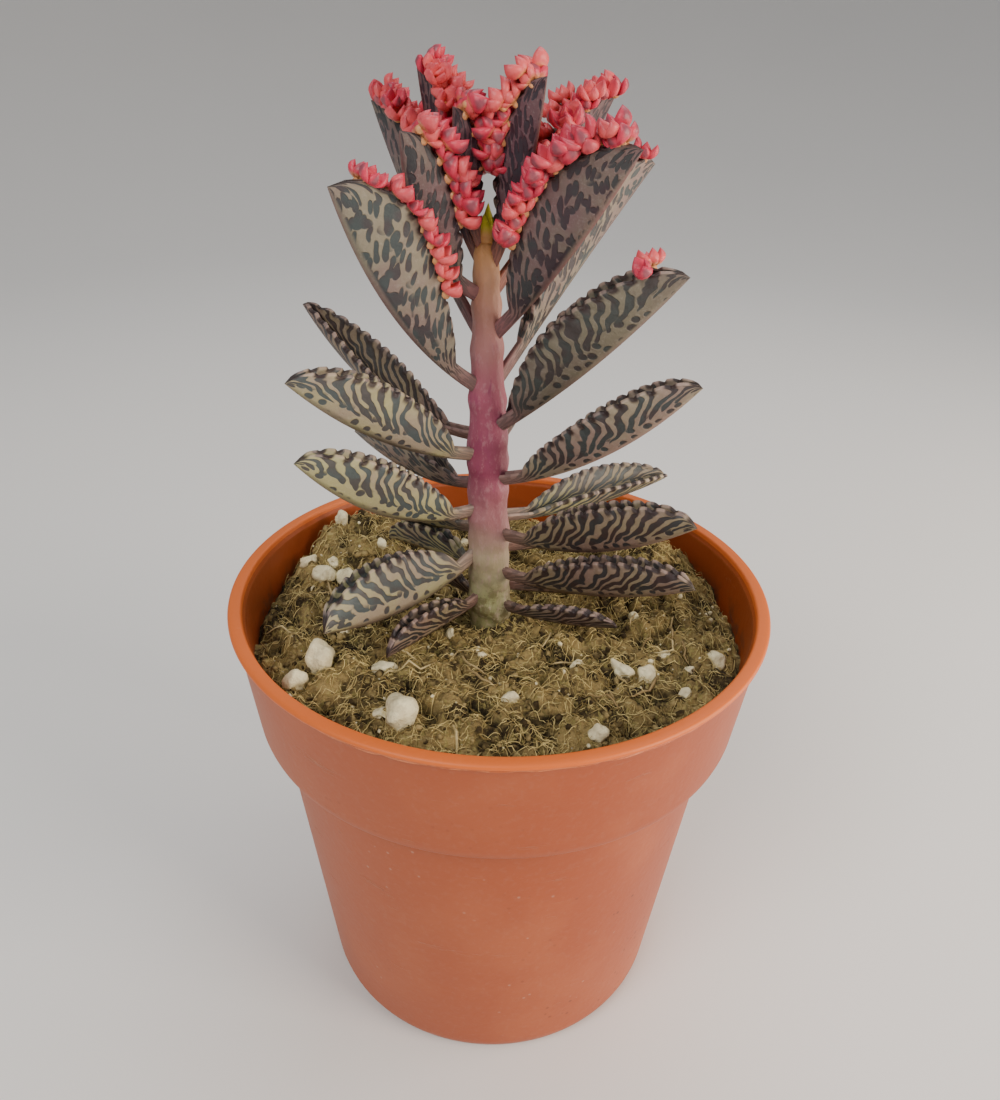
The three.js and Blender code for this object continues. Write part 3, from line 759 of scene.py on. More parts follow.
# The stem is one upright, fleshy shoot. It is green and knobbly at its foot, magenta in the
# middle and tan at its tip, where a bud stands between two folded young leaves.
STEM_START = -2.2
STEM_LEAN = 0.025
ROOT_DEPTH = 24.0
BUD_LEVEL = 67.0
STEM_ROWS = 260
STEM_COLUMNS = 72
STEM_GREEN_TO_TAN = (
    (0.00, (0.13, 0.12, 0.045)), (0.12, (0.27, 0.27, 0.13)), (0.22, (0.38, 0.30, 0.20)),
    (0.30, (0.34, 0.15, 0.155)), (0.40, (0.24, 0.042, 0.085)), (0.58, (0.31, 0.070, 0.115)),
    (0.70, (0.40, 0.17, 0.16)), (0.80, (0.48, 0.25, 0.14)), (0.88, (0.58, 0.30, 0.10)),
)
STEM_PALE = (0.52, 0.30, 0.32)
STEM_RICH = (0.26, 0.045, 0.10)
STEM_LIT = (0.60, 0.46, 0.42)
STEM_MOSS = (0.10, 0.080, 0.03)
BUD_GREEN = (0.60, 0.58, 0.03)
STEM_STATIONS = (
    (-24, 2.2), (-12, 3.4), (-5, 3.9), (2, 3.6), (10, 3.6), (30, 3.5), (45, 2.8), (56, 2.2),
    (64, 1.7), (67, 1.2),
)
QUARTER = {"front_left": 215, "front_right": 325, "back_left": 145, "back_right": 35}

# Each leaf, from the lowest node of the stem to the youngest pair under the bud, with the sizes
# of the solids. level is its height on the stem over the pot's rim, reach and rise place its tip
# from there, lift is the slope in degrees at which it leaves the stem, width is from keel to
# margin, fold is the angle of each half from the plane of the fold, roll leans that plane, and
# belly and blunt say where the blade is widest and how round its end is. coat names its colours.
GROWN = {
    "fold": 15, "roll": 0, "belly": 0.52, "blunt": 0.55, "turn": 0, "brood": (1, 0, 0), "coat": "cream"
}
LEAVES = [
    {**GROWN, **dict(zip(("node", "side", "level", "reach", "rise", "lift", "width"), row)), **more}
    for *row, more in (
        (1, "front_right", -5, 29, 6.5, 4, 3.8, {"coat": "old"}),
        (1, "back_left", -4.6, 20, 1.5, 3, 4.6, {"coat": "old"}),
        (2, "front_left", -2.9, 28.5, 0.2, -4, 6, {"turn": 16, "roll": 6, "coat": "tan"}),
        (2, "back_right", -1, 28, -1, -5, 6, {"turn": -35, "coat": "tan"}),
        (3, "front_right", 2.5, 43, 12.5, 3, 7.8, {"coat": "tan"}),
        (3, "back_left", 2.5, 26, -1, 0, 6.5, {}),
        (4, "front_left", 7.4, 38, -2.6, -27, 11,
         {"turn": 8, "roll": 24, "belly": 0.48, "blunt": 0.5}),
        (4, "back_right", 6.6, 35, -5, -12, 6.4, {"coat": "tan"}),
        (5, "front_right", 11, 42, 15.5, 2, 9, {"coat": "tan"}),
        (5, "back_left", 11, 32, -4, -16, 8, {"roll": -8}),
        (6, "front_left", 16, 38, 19, 0, 9.6, {}),
        (6, "back_right", 13.4, 46, -1.5, -12, 7.5, {"fold": 32, "roll": 10}),
        (7, "front_right", 22, 40, 28, 20, 8.6, {"fold": 30, "roll": 4, "coat": "dun"}),
        (7, "back_left", 20.5, 34, 3, -18, 8.4, {"roll": -8, "coat": "grey"}),
        (8, "front_left", 27, 38, 21.5, 14, 9.6, {"fold": 18}),
        (8, "back_right", 27, 28, 26, 54, 6.4, {"coat": "grey"}),
        (9, "front_right", 32, 36, 34, 38, 10.2,
         {"fold": 20, "roll": 15, "belly": 0.5, "brood": (0.8, 1, 1), "coat": "slate"}),
        (9, "back_left", 30, 46, 17.5, -8, 8, {"fold": 28, "roll": -8, "coat": "tan"}),
        (10, "front_left", 39.5, 28.5, 37, 35, 11.4,
         {"roll": -4, "belly": 0.66, "blunt": 0.42, "brood": (0.42, 8, 9), "coat": "grey"}),
        (10, "back_right", 39, 35, 37, 50, 9,
         {"belly": 0.6, "brood": (0.55, 3, 5), "coat": "grey"}),
        (11, "front_right", 49, 27, 33.5, 46, 10.2,
         {"roll": 6, "belly": 0.54, "blunt": 0.6, "brood": (0.36, 8, 9), "coat": "pink"}),
        (11, "back_left", 48, 25, 37.5, 50, 8.4,
         {"belly": 0.6, "brood": (0.5, 6, 6), "coat": "pink"}),
        (12, "front_left", 56, 16, 27.5, 28, 7.6,
         {"belly": 0.62, "blunt": 0.45, "brood": (0.45, 6, 6), "coat": "pink"}),
        (12, "back_right", 56, 25, 31, 46, 7.6,
         {"belly": 0.6, "brood": (0.45, 6, 6), "coat": "dusk"}),
        (13, "front_right", 61, 10.5, 30, 62, 5.8,
         {"belly": 0.6, "brood": (0.5, 5, 5), "coat": "dusk"}),
        (13, "back_left", 61, 14.5, 30.5, 53, 6.2,
         {"belly": 0.6, "brood": (0.45, 5, 5), "coat": "dusk"}),
        (14, "front_left", 64.5, 6.5, 22, 62, 4.6,
         {"belly": 0.6, "brood": (0.5, 4, 4), "coat": "dusk"}),
        (14, "back_right", 64.5, 7.5, 21, 62, 4.6,
         {"belly": 0.6, "brood": (0.5, 4, 4), "coat": "dusk"}),
    )
]


def azimuth_of(leaf):
    """The direction in which a leaf leaves the stem, in radians from +X."""
    return math.radians(QUARTER[leaf["side"]] + leaf["turn"])


def stem_point(level):
    """The middle of the stem at a height over the rim, as arrays of x, y and z."""
    level = np.asarray(level, float)
    return np.stack([STEM_START - STEM_LEAN * level, 0 * level, POT_HEIGHT + level], -1)


def stem_surface():
    """A round bar along the stem's middle whose radius follows the stations.

    It swells by a bell under every leaf, on that leaf's side and a little all round, its foot
    has knobs of noise, and fine ridges run up it.
    """
    level = np.linspace(-ROOT_DEPTH, BUD_LEVEL, STEM_ROWS)[:, None]
    angle = np.arange(STEM_COLUMNS) * 2 * np.pi / STEM_COLUMNS
    stations = np.array(STEM_STATIONS, float)
    radius = np.interp(level, stations[:, 0], stations[:, 1]) + 0 * angle
    for leaf in LEAVES:
        near = np.exp(-(((level - leaf["level"] + 0.4) / 1.9) ** 2))
        facing = np.clip(np.cos(angle - azimuth_of(leaf)), 0, 1) ** 2
        radius = radius + near * (0.05 + 0.45 * facing)
    knobs = bumps(4.5 * np.cos(angle) + 9, level + 2.4 * np.sin(angle), 2.2, 3) - 0.45
    radius = radius + 0.8 * knobs * (1 - smoothstep(level, -4, 9))
    radius = radius + 0.04 * np.sin(9 * angle + 0.2 * level) + 0.07 * (
        bumps(5 * np.cos(angle), level + 5 * np.sin(angle), 1.6, 8) - 0.5)
    closing = np.sqrt(np.clip((BUD_LEVEL - level) / 1.2, 0, 1))
    closing = closing * np.sqrt(np.clip((level + ROOT_DEPTH) / 2.0, 0, 1))
    middle = stem_point(level)
    spoke = np.stack([np.cos(angle), np.sin(angle), 0 * angle], -1)
    return middle + (radius * closing)[..., None] * spoke


def young_leaf(foot, lean, azimuth, length, width, deep):
    """A folded young leaf or bud scale, closed and pointed.

    Its half-width is width times a bell that is fullest a third of the way up, its depth is a
    share of that, and its middle line leans out from the upright and curves back.
    """
    rows, columns = 22, 16
    t = np.linspace(0, 1, rows)[:, None]
    turn = np.arange(columns) * 2 * np.pi / columns
    bell = (t / 0.35) ** 0.55 * np.clip((1 - t) / 0.65, 0, 1) ** 0.95
    bell = bell / bell.max()
    out = np.array([math.cos(azimuth), math.sin(azimuth), 0])
    across = np.array([-math.sin(azimuth), math.cos(azimuth), 0])
    away = lean * length * (t - 0.45 * t * t)
    centre = foot + away[..., None] * out + (length * t)[..., None] * np.array([0, 0, 1.0])
    cup = 0.35 * width * bell * np.cos(turn) ** 2
    return (
        centre
        + (width * bell * np.cos(turn))[..., None] * across
        + (deep * bell * np.sin(turn) - cup)[..., None] * out
    ), quads(rows, columns)


def stem_finish():
    """Colour by height: green-cream foot, magenta-mottled middle, pink, then tan; a green bud."""
    material, place = finish("fleshy stem")
    level = (place.parts(2) - POT_HEIGHT * MM) * (1 / MM)
    mottle = place.noise(950.0, 4.0, 0.65, (1.0, 1.0, 0.5))
    wander = level + 9.0 * (place.noise(110.0, 2.0) - 0.5)
    share = (wander + 12.0) * (1 / 90.0)
    colour = share.node("ShaderNodeValToRGB", {"stops": STEM_GREEN_TO_TAN}, {0: share})
    pale = (0.26 * mottle.step(0.50, 0.64) * level.step(70.0, 40.0)).blend(colour, STEM_PALE)
    streak = place.noise(700.0, 3.0, 0.6, (1.0, 1.0, 0.3)).step(0.56, 0.68)
    band = level.step(12.0, 26.0) * level.step(56.0, 40.0)
    rich = (0.7 * streak * band).blend(pale, STEM_RICH)
    lit = place.parts(0).step(-0.001, 0.002) * level.step(58.0, 30.0)
    rich = (0.2 * lit).blend(rich, STEM_LIT)
    moss = level.step(8.0, -6.0) * place.noise(350.0, 4.0, 0.7).step(0.46, 0.6)
    rich = (0.85 * moss).blend(rich, STEM_MOSS)
    bud = level.step(BUD_LEVEL, BUD_LEVEL + 2.2)
    rich = bud.blend(rich, BUD_GREEN)
    return shade(material, rich, 0.5, mottle, 0.00025, Specular_IOR_Level=0.4)


trunk = stem_surface()
bud_foot = stem_point(BUD_LEVEL - 3.0)
piece(
    "stem_shoot",
    [
        (trunk, quads(STEM_ROWS, STEM_COLUMNS)),
        young_leaf(bud_foot, 0.05, math.radians(340), 8.2, 1.15, 1.0),
        young_leaf(bud_foot, 0.36, math.radians(250), 6.6, 1.4, 0.8),
        young_leaf(bud_foot, 0.36, math.radians(70), 6.9, 1.4, 0.8),
    ],
    stem_finish(),
    ["stem"],
)


# Each leaf is one fleshy blade, folded along its keel like a boat. Dark stripes run in from the
# notches of its toothed margins and bend back towards the stem. The lower leaves are cream and
# blue-grey, and the upper ones pinkish grey.
LEAF_START = 1.6
KEEL_HANDLE = 0.52
PETIOLE_WIDTH = 2.5
PETIOLE_SHARE = 0.14
TOOTH_PITCH = 3.0
TOOTH_ROWS = 8
TOOTH_DEPTH = 0.5
HALF_COLUMNS = 10
OPENING = 18.0
BLADE_THICKNESS = 1.05
KEEL_BOW = 1.05
SEED_STRIDE = 31
WAXY_BLOOM = (0.55, 0.50, 0.47)
NOTCH_BURNT = (0.026, 0.012, 0.012)
MARGIN_PALE = (0.50, 0.34, 0.29)
FOLD_SHADE = (0.05, 0.045, 0.035)
DASHED_FROM = 4


def leaf_frames(leaf, s):
    """The keel's points and its frames at the shares s of its length.

    The keel is a quadratic curve in the leaf's upright plane: twice s times 1 - s times its
    handle, plus s squared times its end. side is level and square to it, turned by the roll,
    and over is square to both.
    """
    azimuth = azimuth_of(leaf)
    out = np.array([math.cos(azimuth), math.sin(azimuth), 0])
    across = np.array([-math.sin(azimuth), math.cos(azimuth), 0])
    up = np.array([0, 0, 1.0])
    reach, rise = leaf["reach"] - LEAF_START, leaf["rise"]
    handle = KEEL_HANDLE * math.hypot(reach, rise)
    slope = math.radians(leaf["lift"])
    hx, hz = handle * math.cos(slope), handle * math.sin(slope)
    s = np.asarray(s, float)[:, None]
    start = stem_point(leaf["level"]) + LEAF_START * out
    point = start + (2 * s * (1 - s) * hx + s * s * reach) * out
    point = point + (2 * s * (1 - s) * hz + s * s * rise) * up
    along = (2 * (1 - 2 * s) * hx + 2 * s * reach) * out
    along = along + (2 * (1 - 2 * s) * hz + 2 * s * rise) * up
    along = along / np.linalg.norm(along, axis=1, keepdims=True)
    roll = math.radians(leaf["roll"])
    side = math.cos(roll) * across + math.sin(roll) * np.cross(along, across)
    return point, along, side, np.cross(along, side)


def leaf_width(leaf, s):
    """The width from keel to margin: a narrow petiole, then a blade widest at its belly."""
    u = np.clip((s - PETIOLE_SHARE) / (1 - PETIOLE_SHARE), 0, 1)
    belly, blunt = leaf["belly"], leaf["blunt"]
    a = blunt * belly / (1 - belly)
    blade = leaf["width"] * u**a * (1 - u) ** blunt / (belly**a * (1 - belly) ** blunt)
    return np.maximum(blade, PETIOLE_WIDTH * (1 - 0.5 * s) * np.clip((1 - s) / 0.03, 0, 1) ** 0.5)


def half_section(leaf, t):
    """The curve of one half across the leaf, for a width of 1, as sideways and over parts.

    Its angle from the plane of the fold falls steadily from keel to margin, so it is the sum
    of sines and cosines of that angle. The slope at t is given too, as sine and cosine.
    """
    start = math.radians(leaf["fold"] + OPENING)
    end = math.radians(leaf["fold"] - 0.85 * OPENING)
    angle = start + (end - start) * t
    out = (np.cos(angle) - math.cos(start)) / (start - end)
    over = (math.sin(start) - np.sin(angle)) / (start - end)
    return out, over, np.sin(angle), np.cos(angle)


def teeth_of(leaf):
    """How many teeth a margin has, from the length of the straight line under the keel."""
    return round(KEEL_BOW * math.hypot(leaf["reach"], leaf["rise"]) / TOOTH_PITCH)


def blade_patch(leaf, seed):
    """A leaf's surface: closed rings across it, carried along its keel.

    A ring runs from the keel out over one half to the margin, back inside it, and round the
    other half. Near the margins the width dips at every notch between two teeth and the edge
    waves from side to side. The inside lies a blade's thickness away.
    """
    teeth = teeth_of(leaf)
    rows = teeth * TOOTH_ROWS + 1
    s = np.linspace(0, 1, rows)
    point, along, side, over = leaf_frames(leaf, s)
    width = leaf_width(leaf, s)
    t = np.linspace(0, 1, HALF_COLUMNS) ** 0.85
    out, up, sine, cosine = half_section(leaf, t)
    count = teeth * s
    blade_part = smoothstep(s, 0.2, 0.28) * (1 - smoothstep(s, 0.965, 1.0))
    notch = np.exp(-(((count - np.round(count)) / 0.17) ** 2)) * blade_part
    depth = TOOTH_DEPTH * (0.75 + 0.5 * lattice(np.round(count), 0 * count, seed))
    thick = np.minimum(BLADE_THICKNESS * (1.15 - 0.35 * t), 0.28 * width[:, None])
    rings = {}
    for way in (1, -1):
        dent = (notch * depth)[:, None] * t**7
        sway = 0.16 * blade_part * np.sin(2 * np.pi * count + way + seed)
        sway = sway[:, None] * t**5
        wave = 0.5 * np.sin(0.55 * np.pi * count / teeth * 4 + seed * 1.3 + way)
        wave = (wave * blade_part)[:, None] * t**2 * (leaf["width"] / 9)
        x = width[:, None] * out - dent * sine[None] + sway + wave
        z = width[:, None] * up - dent * cosine[None]
        round_in = smoothstep(t, 0.0, 0.6)
        xi = x - thick * cosine * round_in
        zi = z + thick * (sine * round_in + 1.2 * (1 - round_in))
        rim_x = 0.5 * (x[:, -1:] + xi[:, -1:]) + 0.35 * thick[:, -1:] * sine[-1]
        rim_z = 0.5 * (z[:, -1:] + zi[:, -1:]) + 0.35 * thick[:, -1:] * cosine[-1]
        rings[way] = (x, z, rim_x, rim_z, xi, zi)
    x, z, rx, rz, xi, zi = rings[1]
    xb, zb, rxb, rzb, xib, zib = rings[-1]
    ring_x = np.concatenate([x, rx, xi[:, ::-1], -xib[:, 1:], -rxb, -xb[:, :0:-1]], 1)
    ring_z = np.concatenate([z, rz, zi[:, ::-1], zib[:, 1:], rzb, zb[:, :0:-1]], 1)
    across = np.concatenate([t, [1.0], t[::-1], t[1:], [1.0], t[:0:-1]])
    k = HALF_COLUMNS
    inner = np.concatenate([np.zeros(k), [0.3], np.ones(2 * k - 1), [0.3], np.zeros(k - 1)])
    points = point[:, None] + ring_x[..., None] * side[:, None] + ring_z[..., None] * over[:, None]
    for end in (0, -1):
        points[end] = points[end].mean(0)
    columns = len(across)
    place = np.stack([np.repeat(count, columns) + SEED_STRIDE * seed, np.tile(across, rows)], -1)
    return points, quads(rows, columns), place, np.tile(inner, rows), np.repeat(s, columns)


def leaf_finish(name, ground, ground_far, stripe, stripe_warm, petiole, dashes, plain):
    """Stripes from the margin's notches, bent back towards the stem, over a waxy ground.

    A stripe follows tooth number plus a bend that grows towards the keel. Slow noise shifts it,
    a band joins the stripes where they have bent, noise breaks them into dashes, and round spots
    lie between the band and the plain keel. With many dashes, short slanted cells take the
    place of the stripes.
    """
    material, place = finish(name)
    blade = stored_place(material, "blade")
    tooth, across = blade.parts(0), blade.parts(1)
    inner, share = stored(material, "inner"), stored(material, "share")
    shift = blade.noise(0.6, 1.0, 0.4, (1.0, 3.0, 1.0)) - 0.5
    wobble = place.noise(300.0, 1.5, 0.5) - 0.5
    bend = 4.4 * (1.0 - across) ** 1.75
    line = tooth + bend + 2.4 * shift + 0.6 * wobble
    wave = (line * (2 * math.pi)).math("COSINE")
    breaks = blade.noise(1.1, 1.0, 0.5, (1.0, 4.0, 1.0)) - 0.5
    band = across.step(plain - 0.04, plain + 0.08) * across.step(plain + 0.28, plain + 0.14)
    fade = 2.2 * across.step(plain + 0.02, plain - 0.1) + 0.25 * across.step(0.8, 1.0)
    broken = wave + 0.06 + 0.5 * band - fade - dashes * breaks + 0.6 * wobble
    striped = broken.step(-0.28, 0.32)
    dots = blade.node(
        "ShaderNodeMapping", None, {"Vector": blade, "Scale": (1.15, 3.3, 1.0)}
    ).spots(1.0, 0.75, "2D")
    spot_band = across.step(0.06, 0.12) * across.step(plain + 0.16, plain)
    spots = (dots + 0.35 * wobble).step(0.33, 0.24) * spot_band
    slant = (tooth + 3.8 * (1.0 - across) + 1.2 * shift) * 1.4
    cells = slant.node("ShaderNodeCombineXYZ", None, {0: slant, 1: across * 4.2})
    dashed = cells.spots(1.0, 0.8, "2D") + 0.6 * wobble + 0.5 * breaks
    dashed = dashed.step(0.42, 0.31) * across.step(0.05, 0.12)
    striped = striped if dashes < DASHED_FROM else dashed
    dark = striped.math("MAXIMUM", spots)
    young = share.step(0.08, 0.24)
    dark = dark * (0.3 + 0.7 * young) * 0.95
    cloud = place.noise(90.0, 3.0, 0.6)
    base = cloud.step(0.36, 0.64).blend(ground, ground_far)
    bloom = place.noise(1600.0, 3.0, 0.7)
    base = (0.1 * bloom.step(0.5, 0.7)).blend(base, WAXY_BLOOM)
    base = (0.8 * share.step(0.26, 0.1)).blend(base, petiole)
    mark = place.noise(210.0, 2.0).step(0.42, 0.6).blend(stripe, stripe_warm)
    colour = dark.blend(base, mark)
    colour = (0.45 * across.step(0.07, 0.0)).blend(colour, petiole)
    near_notch = (tooth - tooth.math("ROUND")).math("ABSOLUTE")
    on_blade = share.step(0.2, 0.28)
    burnt = near_notch.step(0.36, 0.16) * across.step(0.84, 0.96) * on_blade
    colour = (0.94 * burnt).blend(colour, NOTCH_BURNT)
    rim = across.step(0.965, 0.998) * near_notch.step(0.22, 0.34) * on_blade
    colour = (0.35 * rim).blend(colour, MARGIN_PALE)
    colour = (0.2 * inner).blend(colour, FOLD_SHADE)
    gloss = 0.50 + 0.12 * bloom - 0.06 * dark
    height = 0.5 * place.noise(1400.0, 3.0, 0.6) + 0.5 * cloud - 0.5 * dark
    return shade(material, colour, gloss, height, 0.00022, Specular_IOR_Level=0.42)


COATS = {
    # The lowest leaves are drying, and their coat is also darkened as painted shade for lying hidden
    # near the soil.
    "old": leaf_finish(
        "old leaf", (0.17, 0.125, 0.085), (0.13, 0.075, 0.06), (0.022, 0.016, 0.016),
        (0.030, 0.013, 0.013), (0.15, 0.09, 0.07), 1.6, 0.2),
    "tan": leaf_finish(
        "tan leaf", (0.235, 0.185, 0.110), (0.20, 0.13, 0.10), (0.022, 0.023, 0.027),
        (0.032, 0.018, 0.019), (0.21, 0.115, 0.10), 2.3, 0.26),
    "cream": leaf_finish(
        "cream leaf", (0.37, 0.345, 0.175), (0.31, 0.25, 0.18), (0.052, 0.072, 0.080),
        (0.056, 0.053, 0.058), (0.32, 0.21, 0.18), 2.5, 0.34),
    "slate": leaf_finish(
        "slate leaf", (0.175, 0.155, 0.110), (0.155, 0.120, 0.100), (0.042, 0.052, 0.052),
        (0.044, 0.036, 0.038), (0.22, 0.12, 0.12), 3.6, 0.36),
    "dun": leaf_finish(
        "dun leaf", (0.27, 0.225, 0.155), (0.25, 0.175, 0.145), (0.036, 0.050, 0.054),
        (0.040, 0.032, 0.036), (0.27, 0.15, 0.14), 2.8, 0.32),
    "grey": leaf_finish(
        "grey leaf", (0.235, 0.205, 0.145), (0.22, 0.155, 0.135), (0.040, 0.056, 0.060),
        (0.044, 0.036, 0.042), (0.27, 0.14, 0.14), 4.4, 0.38),
    "pink": leaf_finish(
        "pink leaf", (0.140, 0.112, 0.090), (0.140, 0.082, 0.084), (0.028, 0.032, 0.036),
        (0.034, 0.020, 0.028), (0.27, 0.11, 0.115), 5.2, 0.42),
    "dusk": leaf_finish(
        "dusk leaf", (0.115, 0.064, 0.068), (0.100, 0.044, 0.058), (0.024, 0.018, 0.028),
        (0.026, 0.010, 0.019), (0.32, 0.13, 0.09), 5.6, 0.42),
}


def leaf_name(leaf):
    """The name of a leaf's solid."""
    return f"leaf_{leaf['node']:02d}_{leaf['side']}"


for number, leaf in enumerate(LEAVES):
    points, faces, place, inner, share = blade_patch(leaf, number + 1)
    piece(
        leaf_name(leaf) + "_blade",
        [(points, faces)],
        COATS[leaf["coat"]],
        [leaf_name(leaf)],
        {"blade": place, "inner": inner, "share": share},
    )


# Plantlets sit in the notches of the upper leaves' margins: tiny plump rosettes of two to four
# pointed leaflets on a pale orange foot, which drop off and root.
PLANTLET_LENGTH = 3.1
PLANTLET_SCALE = 1.25
LEAFLET_PAIRS = ((1.0, 0.85), (0.78, 0.40))
LEAFLET_BELL_TOP = 0.371
CROWDED_FROM = 11
LEAFLET_ROWS = 8
LEAFLET_COLUMNS = 8
CORAL = (0.60, 0.036, 0.080)
CORAL_DEEP = (0.44, 0.024, 0.066)
CORAL_PALE = (0.72, 0.105, 0.110)
CORAL_LIGHT = (0.80, 0.22, 0.22)
PLANTLET_GREY = (0.13, 0.065, 0.085)
PLANTLET_FOOT = (0.68, 0.34, 0.13)


def leaflet(foot, along, lean_to, tilt, length, width, thick):
    """One leaflet: closed rings along a middle line that starts tilted and bends upright.

    Its half-width is a bell that is fullest at two fifths and pointed at its end, its inner
    face is flatter than its outer one, and tilt is the slope away from along at its start.
    """
    t = np.linspace(0, 1, LEAFLET_ROWS)[:, None]
    turn = np.arange(LEAFLET_COLUMNS) * 2 * np.pi / LEAFLET_COLUMNS
    bell = t**0.55 * np.clip(1 - t, 0, 1) ** 1.1 / LEAFLET_BELL_TOP
    across = np.cross(along, lean_to)
    away = math.sin(tilt) * length * (t - 0.42 * t * t)
    forward = math.cos(tilt * 0.8) * length * t
    centre = foot + away[..., None] * lean_to + forward[..., None] * along
    deep = np.where(np.sin(turn) > 0, 1.0, 0.45) * thick * bell * np.sin(turn)
    wide = width * bell * np.cos(turn)
    return centre + wide[..., None] * across + deep[..., None] * lean_to


def plantlet_rings(foot, along, size, twist):
    """A rosette: pairs of facing leaflets, each pair a quarter turn on and smaller, and a foot.

    LEAFLET_PAIRS holds each pair's size and its tilt.
    """
    helper = np.array([1.0, 0, 0]) if abs(along[0]) < 0.8 else np.array([0, 1.0, 0])
    first = np.cross(along, helper)
    first /= np.linalg.norm(first)
    second = np.cross(along, first)
    found = []
    for pair, (share, tilt) in enumerate(LEAFLET_PAIRS):
        scale = size * share
        for half in range(2):
            angle = twist + pair * math.pi / 2 + half * math.pi
            lean_to = math.cos(angle) * first + math.sin(angle) * second
            found.append(leaflet(
                foot + 0.25 * size * lean_to, along, lean_to, tilt,
                PLANTLET_LENGTH * scale, 1.25 * scale, 1.0 * scale))
    stub = leaflet(foot - 0.9 * along, along, first, 0.0, 1.6 * size, 0.62 * size, 0.62 * size)
    return found, stub


def plantlet_patch(leaf, seed):
    """All plantlets of a leaf, in the notches of both margins from its brood's share to its tip.

    A leaf of node CROWDED_FROM or higher carries as many again, set higher and between them.
    """
    stream = draws(seed)
    rng = np.random.default_rng(seed)
    start, far, near = leaf["brood"]
    out, up, sine, cosine = half_section(leaf, np.array([1.0]))
    leaflets, places, tones = [], [], []
    t = np.repeat(np.linspace(0, 1, LEAFLET_ROWS), LEAFLET_COLUMNS)
    turn = np.tile(np.arange(LEAFLET_COLUMNS) / LEAFLET_COLUMNS, LEAFLET_ROWS)
    crowded = leaf["node"] >= CROWDED_FROM
    for way, count in ((1, far), (-1, near)):
        for i in range(count * (2 if crowded else 1)):
            own = i < count
            place = i + 0.6 if own else i - count + 0.1 + rng.random()
            s = min(start + (1 - start) * place / count, 1.0)
            point, along, side, over = (a[0] for a in leaf_frames(leaf, [min(s, 0.985)]))
            width = float(leaf_width(leaf, np.array([s]))[0])
            foot = point + way * width * out[0] * 0.92 * side + (width * up[0] - 0.1) * over
            draw = (lambda: next(stream)) if own else rng.random
            grow = over + (0.5 + 0.4 * draw()) * along
            grow = grow + way * (0.25 + 0.35 * draw()) * side
            grow = grow / np.linalg.norm(grow)
            size = PLANTLET_SCALE * (0.78 + 0.42 * draw())
            twist = 6 * draw()
            if not own:
                foot = foot + 1.3 * grow + way * 0.5 * side
            found, stub = plantlet_rings(foot, grow, size, twist)
            tone = rng.random()
            for rings in found:
                leaflets.append(rings)
                places.append(np.stack([t, turn], -1))
                tones.append(np.full(t.size, tone))
            leaflets.append(stub)
            places.append(np.stack([0 * t, turn], -1))
            tones.append(np.full(t.size, tone))
    points = np.array(leaflets)
    step = LEAFLET_ROWS * LEAFLET_COLUMNS
    first = step * np.arange(len(leaflets))[:, None, None]
    faces = quads(LEAFLET_ROWS, LEAFLET_COLUMNS)[None] + first
    return points, faces.reshape(-1, 4), np.concatenate(places), np.concatenate(tones)


def plantlet_finish():
    """Waxy coral, orange at the foot, darker at the tip, some with a grey-purple middle."""
    material, place = finish("coral plantlet")
    leaf_place = stored_place(material, "leaflet")
    tone = stored(material, "tone")
    up = leaf_place.parts(0)
    colour = tone.step(0.15, 0.9).blend(CORAL, CORAL_PALE)
    colour = (0.6 * up.step(0.45, 1.0)).blend(colour, CORAL_DEEP)
    colour = (0.9 * up.step(0.20, 0.02)).blend(colour, PLANTLET_FOOT)
    turn = leaf_place.parts(1)
    back = (turn - 0.25).math("ABSOLUTE").step(0.13, 0.04)
    grey = back * up.step(0.2, 0.4) * up.step(0.95, 0.7) * tone.step(0.62, 0.48)
    colour = (0.72 * grey).blend(colour, PLANTLET_GREY)
    mottle = place.noise(900.0, 3.0)
    colour = (0.15 * mottle.step(0.5, 0.7)).blend(colour, CORAL_LIGHT)
    return shade(material, colour, 0.42, mottle, 0.0002, Specular_IOR_Level=0.45)


CORAL_WAX = plantlet_finish()
for number, leaf in enumerate(LEAVES):
    if leaf["brood"][1] + leaf["brood"][2] == 0:
        continue
    points, faces, place, tone = plantlet_patch(leaf, 101 + number)
    piece(
        leaf_name(leaf) + "_plantlets",
        [(points, faces)],
        CORAL_WAX,
        [leaf_name(leaf)],
        {"leaflet": place, "tone": tone},
    )


# The studio: a plain pale floor, soft light from large panels, and the camera.
CAMERA_PLACE = Vector((0.0, -0.1617, 0.1948))
CAMERA_PITCH = math.radians(29.65)
CAMERA_YAW = math.radians(-0.065)
CAMERA_ROLL = math.radians(1.565)
CAMERA_LENS = 31.3
SENSOR = 36.0
SWEEP_ROWS = 45
SWEEP_SIDES = 96
MIDDLE = (0, 0, 0.1)
POT_MIDDLE = (0, 0, 0.06)
PANELS = (
    ("key panel", (-0.35, -0.55, 0.75), MIDDLE, 0.42, 5.2, (1.0, 0.97, 0.93)),
    ("fill panel", (0.60, -0.35, 0.36), MIDDLE, 0.34, 4.9, (1.0, 0.87, 0.74)),
    ("side panel", (0.52, 0.02, 0.14), POT_MIDDLE, 0.24, 1.5, (1.0, 0.84, 0.68)),
    ("top panel", (0.1, 0.35, 0.8), MIDDLE, 0.6, 2.4, (1, 1, 1)),
)


def panel(name, place, target, size, power, colour):
    """A square area light that faces a target."""
    light = bpy.data.lights.new(name, "AREA")
    light.size = size
    light.energy = power
    light.color = colour
    obj = bpy.data.objects.new(name, light)
    obj.location = place
    obj.rotation_euler = (Vector(target) - Vector(place)).to_track_quat("-Z", "Y").to_euler()
    bpy.context.scene.collection.objects.link(obj)


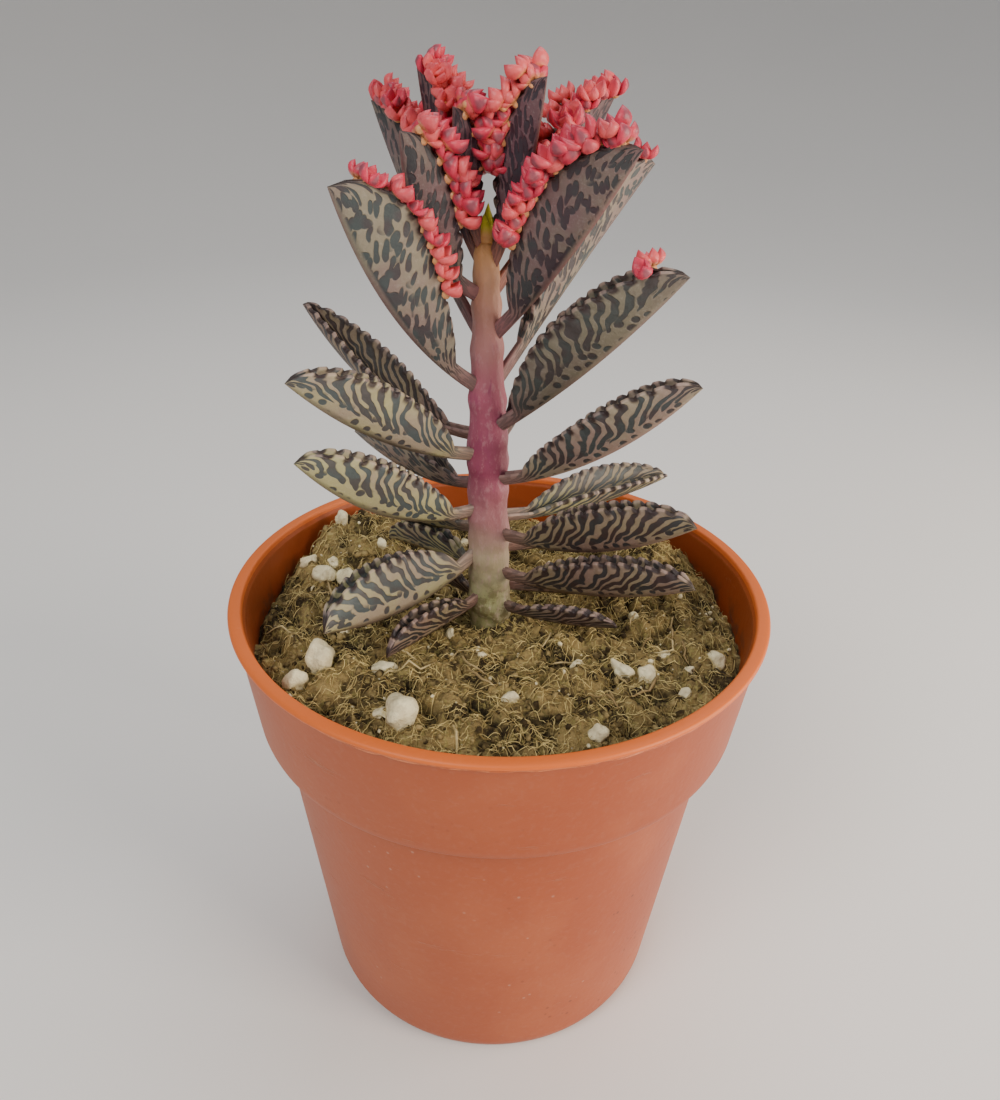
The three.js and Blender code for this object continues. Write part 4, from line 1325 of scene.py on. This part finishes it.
def sweep():
    """A flat round floor whose edge sweeps up: height is the square of the radius past 0.7 m."""
    radius = np.linspace(0.0, 2.2, SWEEP_ROWS)[:, None]
    angle = np.arange(SWEEP_SIDES) * 2 * np.pi / SWEEP_SIDES
    height = 0.45 * np.clip(radius - 0.7, 0, None) ** 2
    points = np.stack([radius * np.cos(angle), radius * np.sin(angle), height + 0 * angle], -1)
    return points.reshape(-1, 3), quads(SWEEP_ROWS, SWEEP_SIDES)[:, ::-1]


floor_mesh = bpy.data.meshes.new("studio_floor")
floor_points, floor_faces = sweep()
floor_mesh.from_pydata(floor_points, [], floor_faces.tolist())
floor_mesh.polygons.foreach_set("use_smooth", np.full(len(floor_mesh.polygons), True))
floor_material, floor_place = finish("pale paper")
paper = floor_place.noise(3.0).step(0.3, 0.7).blend((0.78, 0.77, 0.75), (0.8, 0.79, 0.77))
shade(floor_material, paper, 0.9)
floor_mesh.materials.append(floor_material)
studio_floor = bpy.data.objects.new("studio_floor", floor_mesh)
bpy.context.scene.collection.objects.link(studio_floor)

world = bpy.data.worlds.new("studio")
bpy.context.scene.world = world
world.use_nodes = True
world.node_tree.nodes["Background"].inputs["Color"].default_value = (0.93, 0.95, 1.0, 1)
world.node_tree.nodes["Background"].inputs["Strength"].default_value = 0.30
for row in PANELS:
    panel(*row)

camera_data = bpy.data.cameras.new("camera")
camera_data.lens = CAMERA_LENS
camera_data.sensor_width = SENSOR
camera_data.sensor_fit = "AUTO"
camera_data.clip_start = 0.01
camera = bpy.data.objects.new("camera", camera_data)
bpy.context.scene.collection.objects.link(camera)
forward = Vector((
    math.sin(CAMERA_YAW) * math.cos(CAMERA_PITCH),
    math.cos(CAMERA_YAW) * math.cos(CAMERA_PITCH),
    -math.sin(CAMERA_PITCH),
))
right = Vector((math.cos(CAMERA_YAW), -math.sin(CAMERA_YAW), 0))
upward = right.cross(forward)
camera_x = math.cos(CAMERA_ROLL) * right + math.sin(CAMERA_ROLL) * upward
camera_y = -math.sin(CAMERA_ROLL) * right + math.cos(CAMERA_ROLL) * upward
turned = Matrix((camera_x, camera_y, -forward)).transposed().to_4x4()
camera.matrix_world = Matrix.Translation(CAMERA_PLACE) @ turned
bpy.context.scene.camera = camera
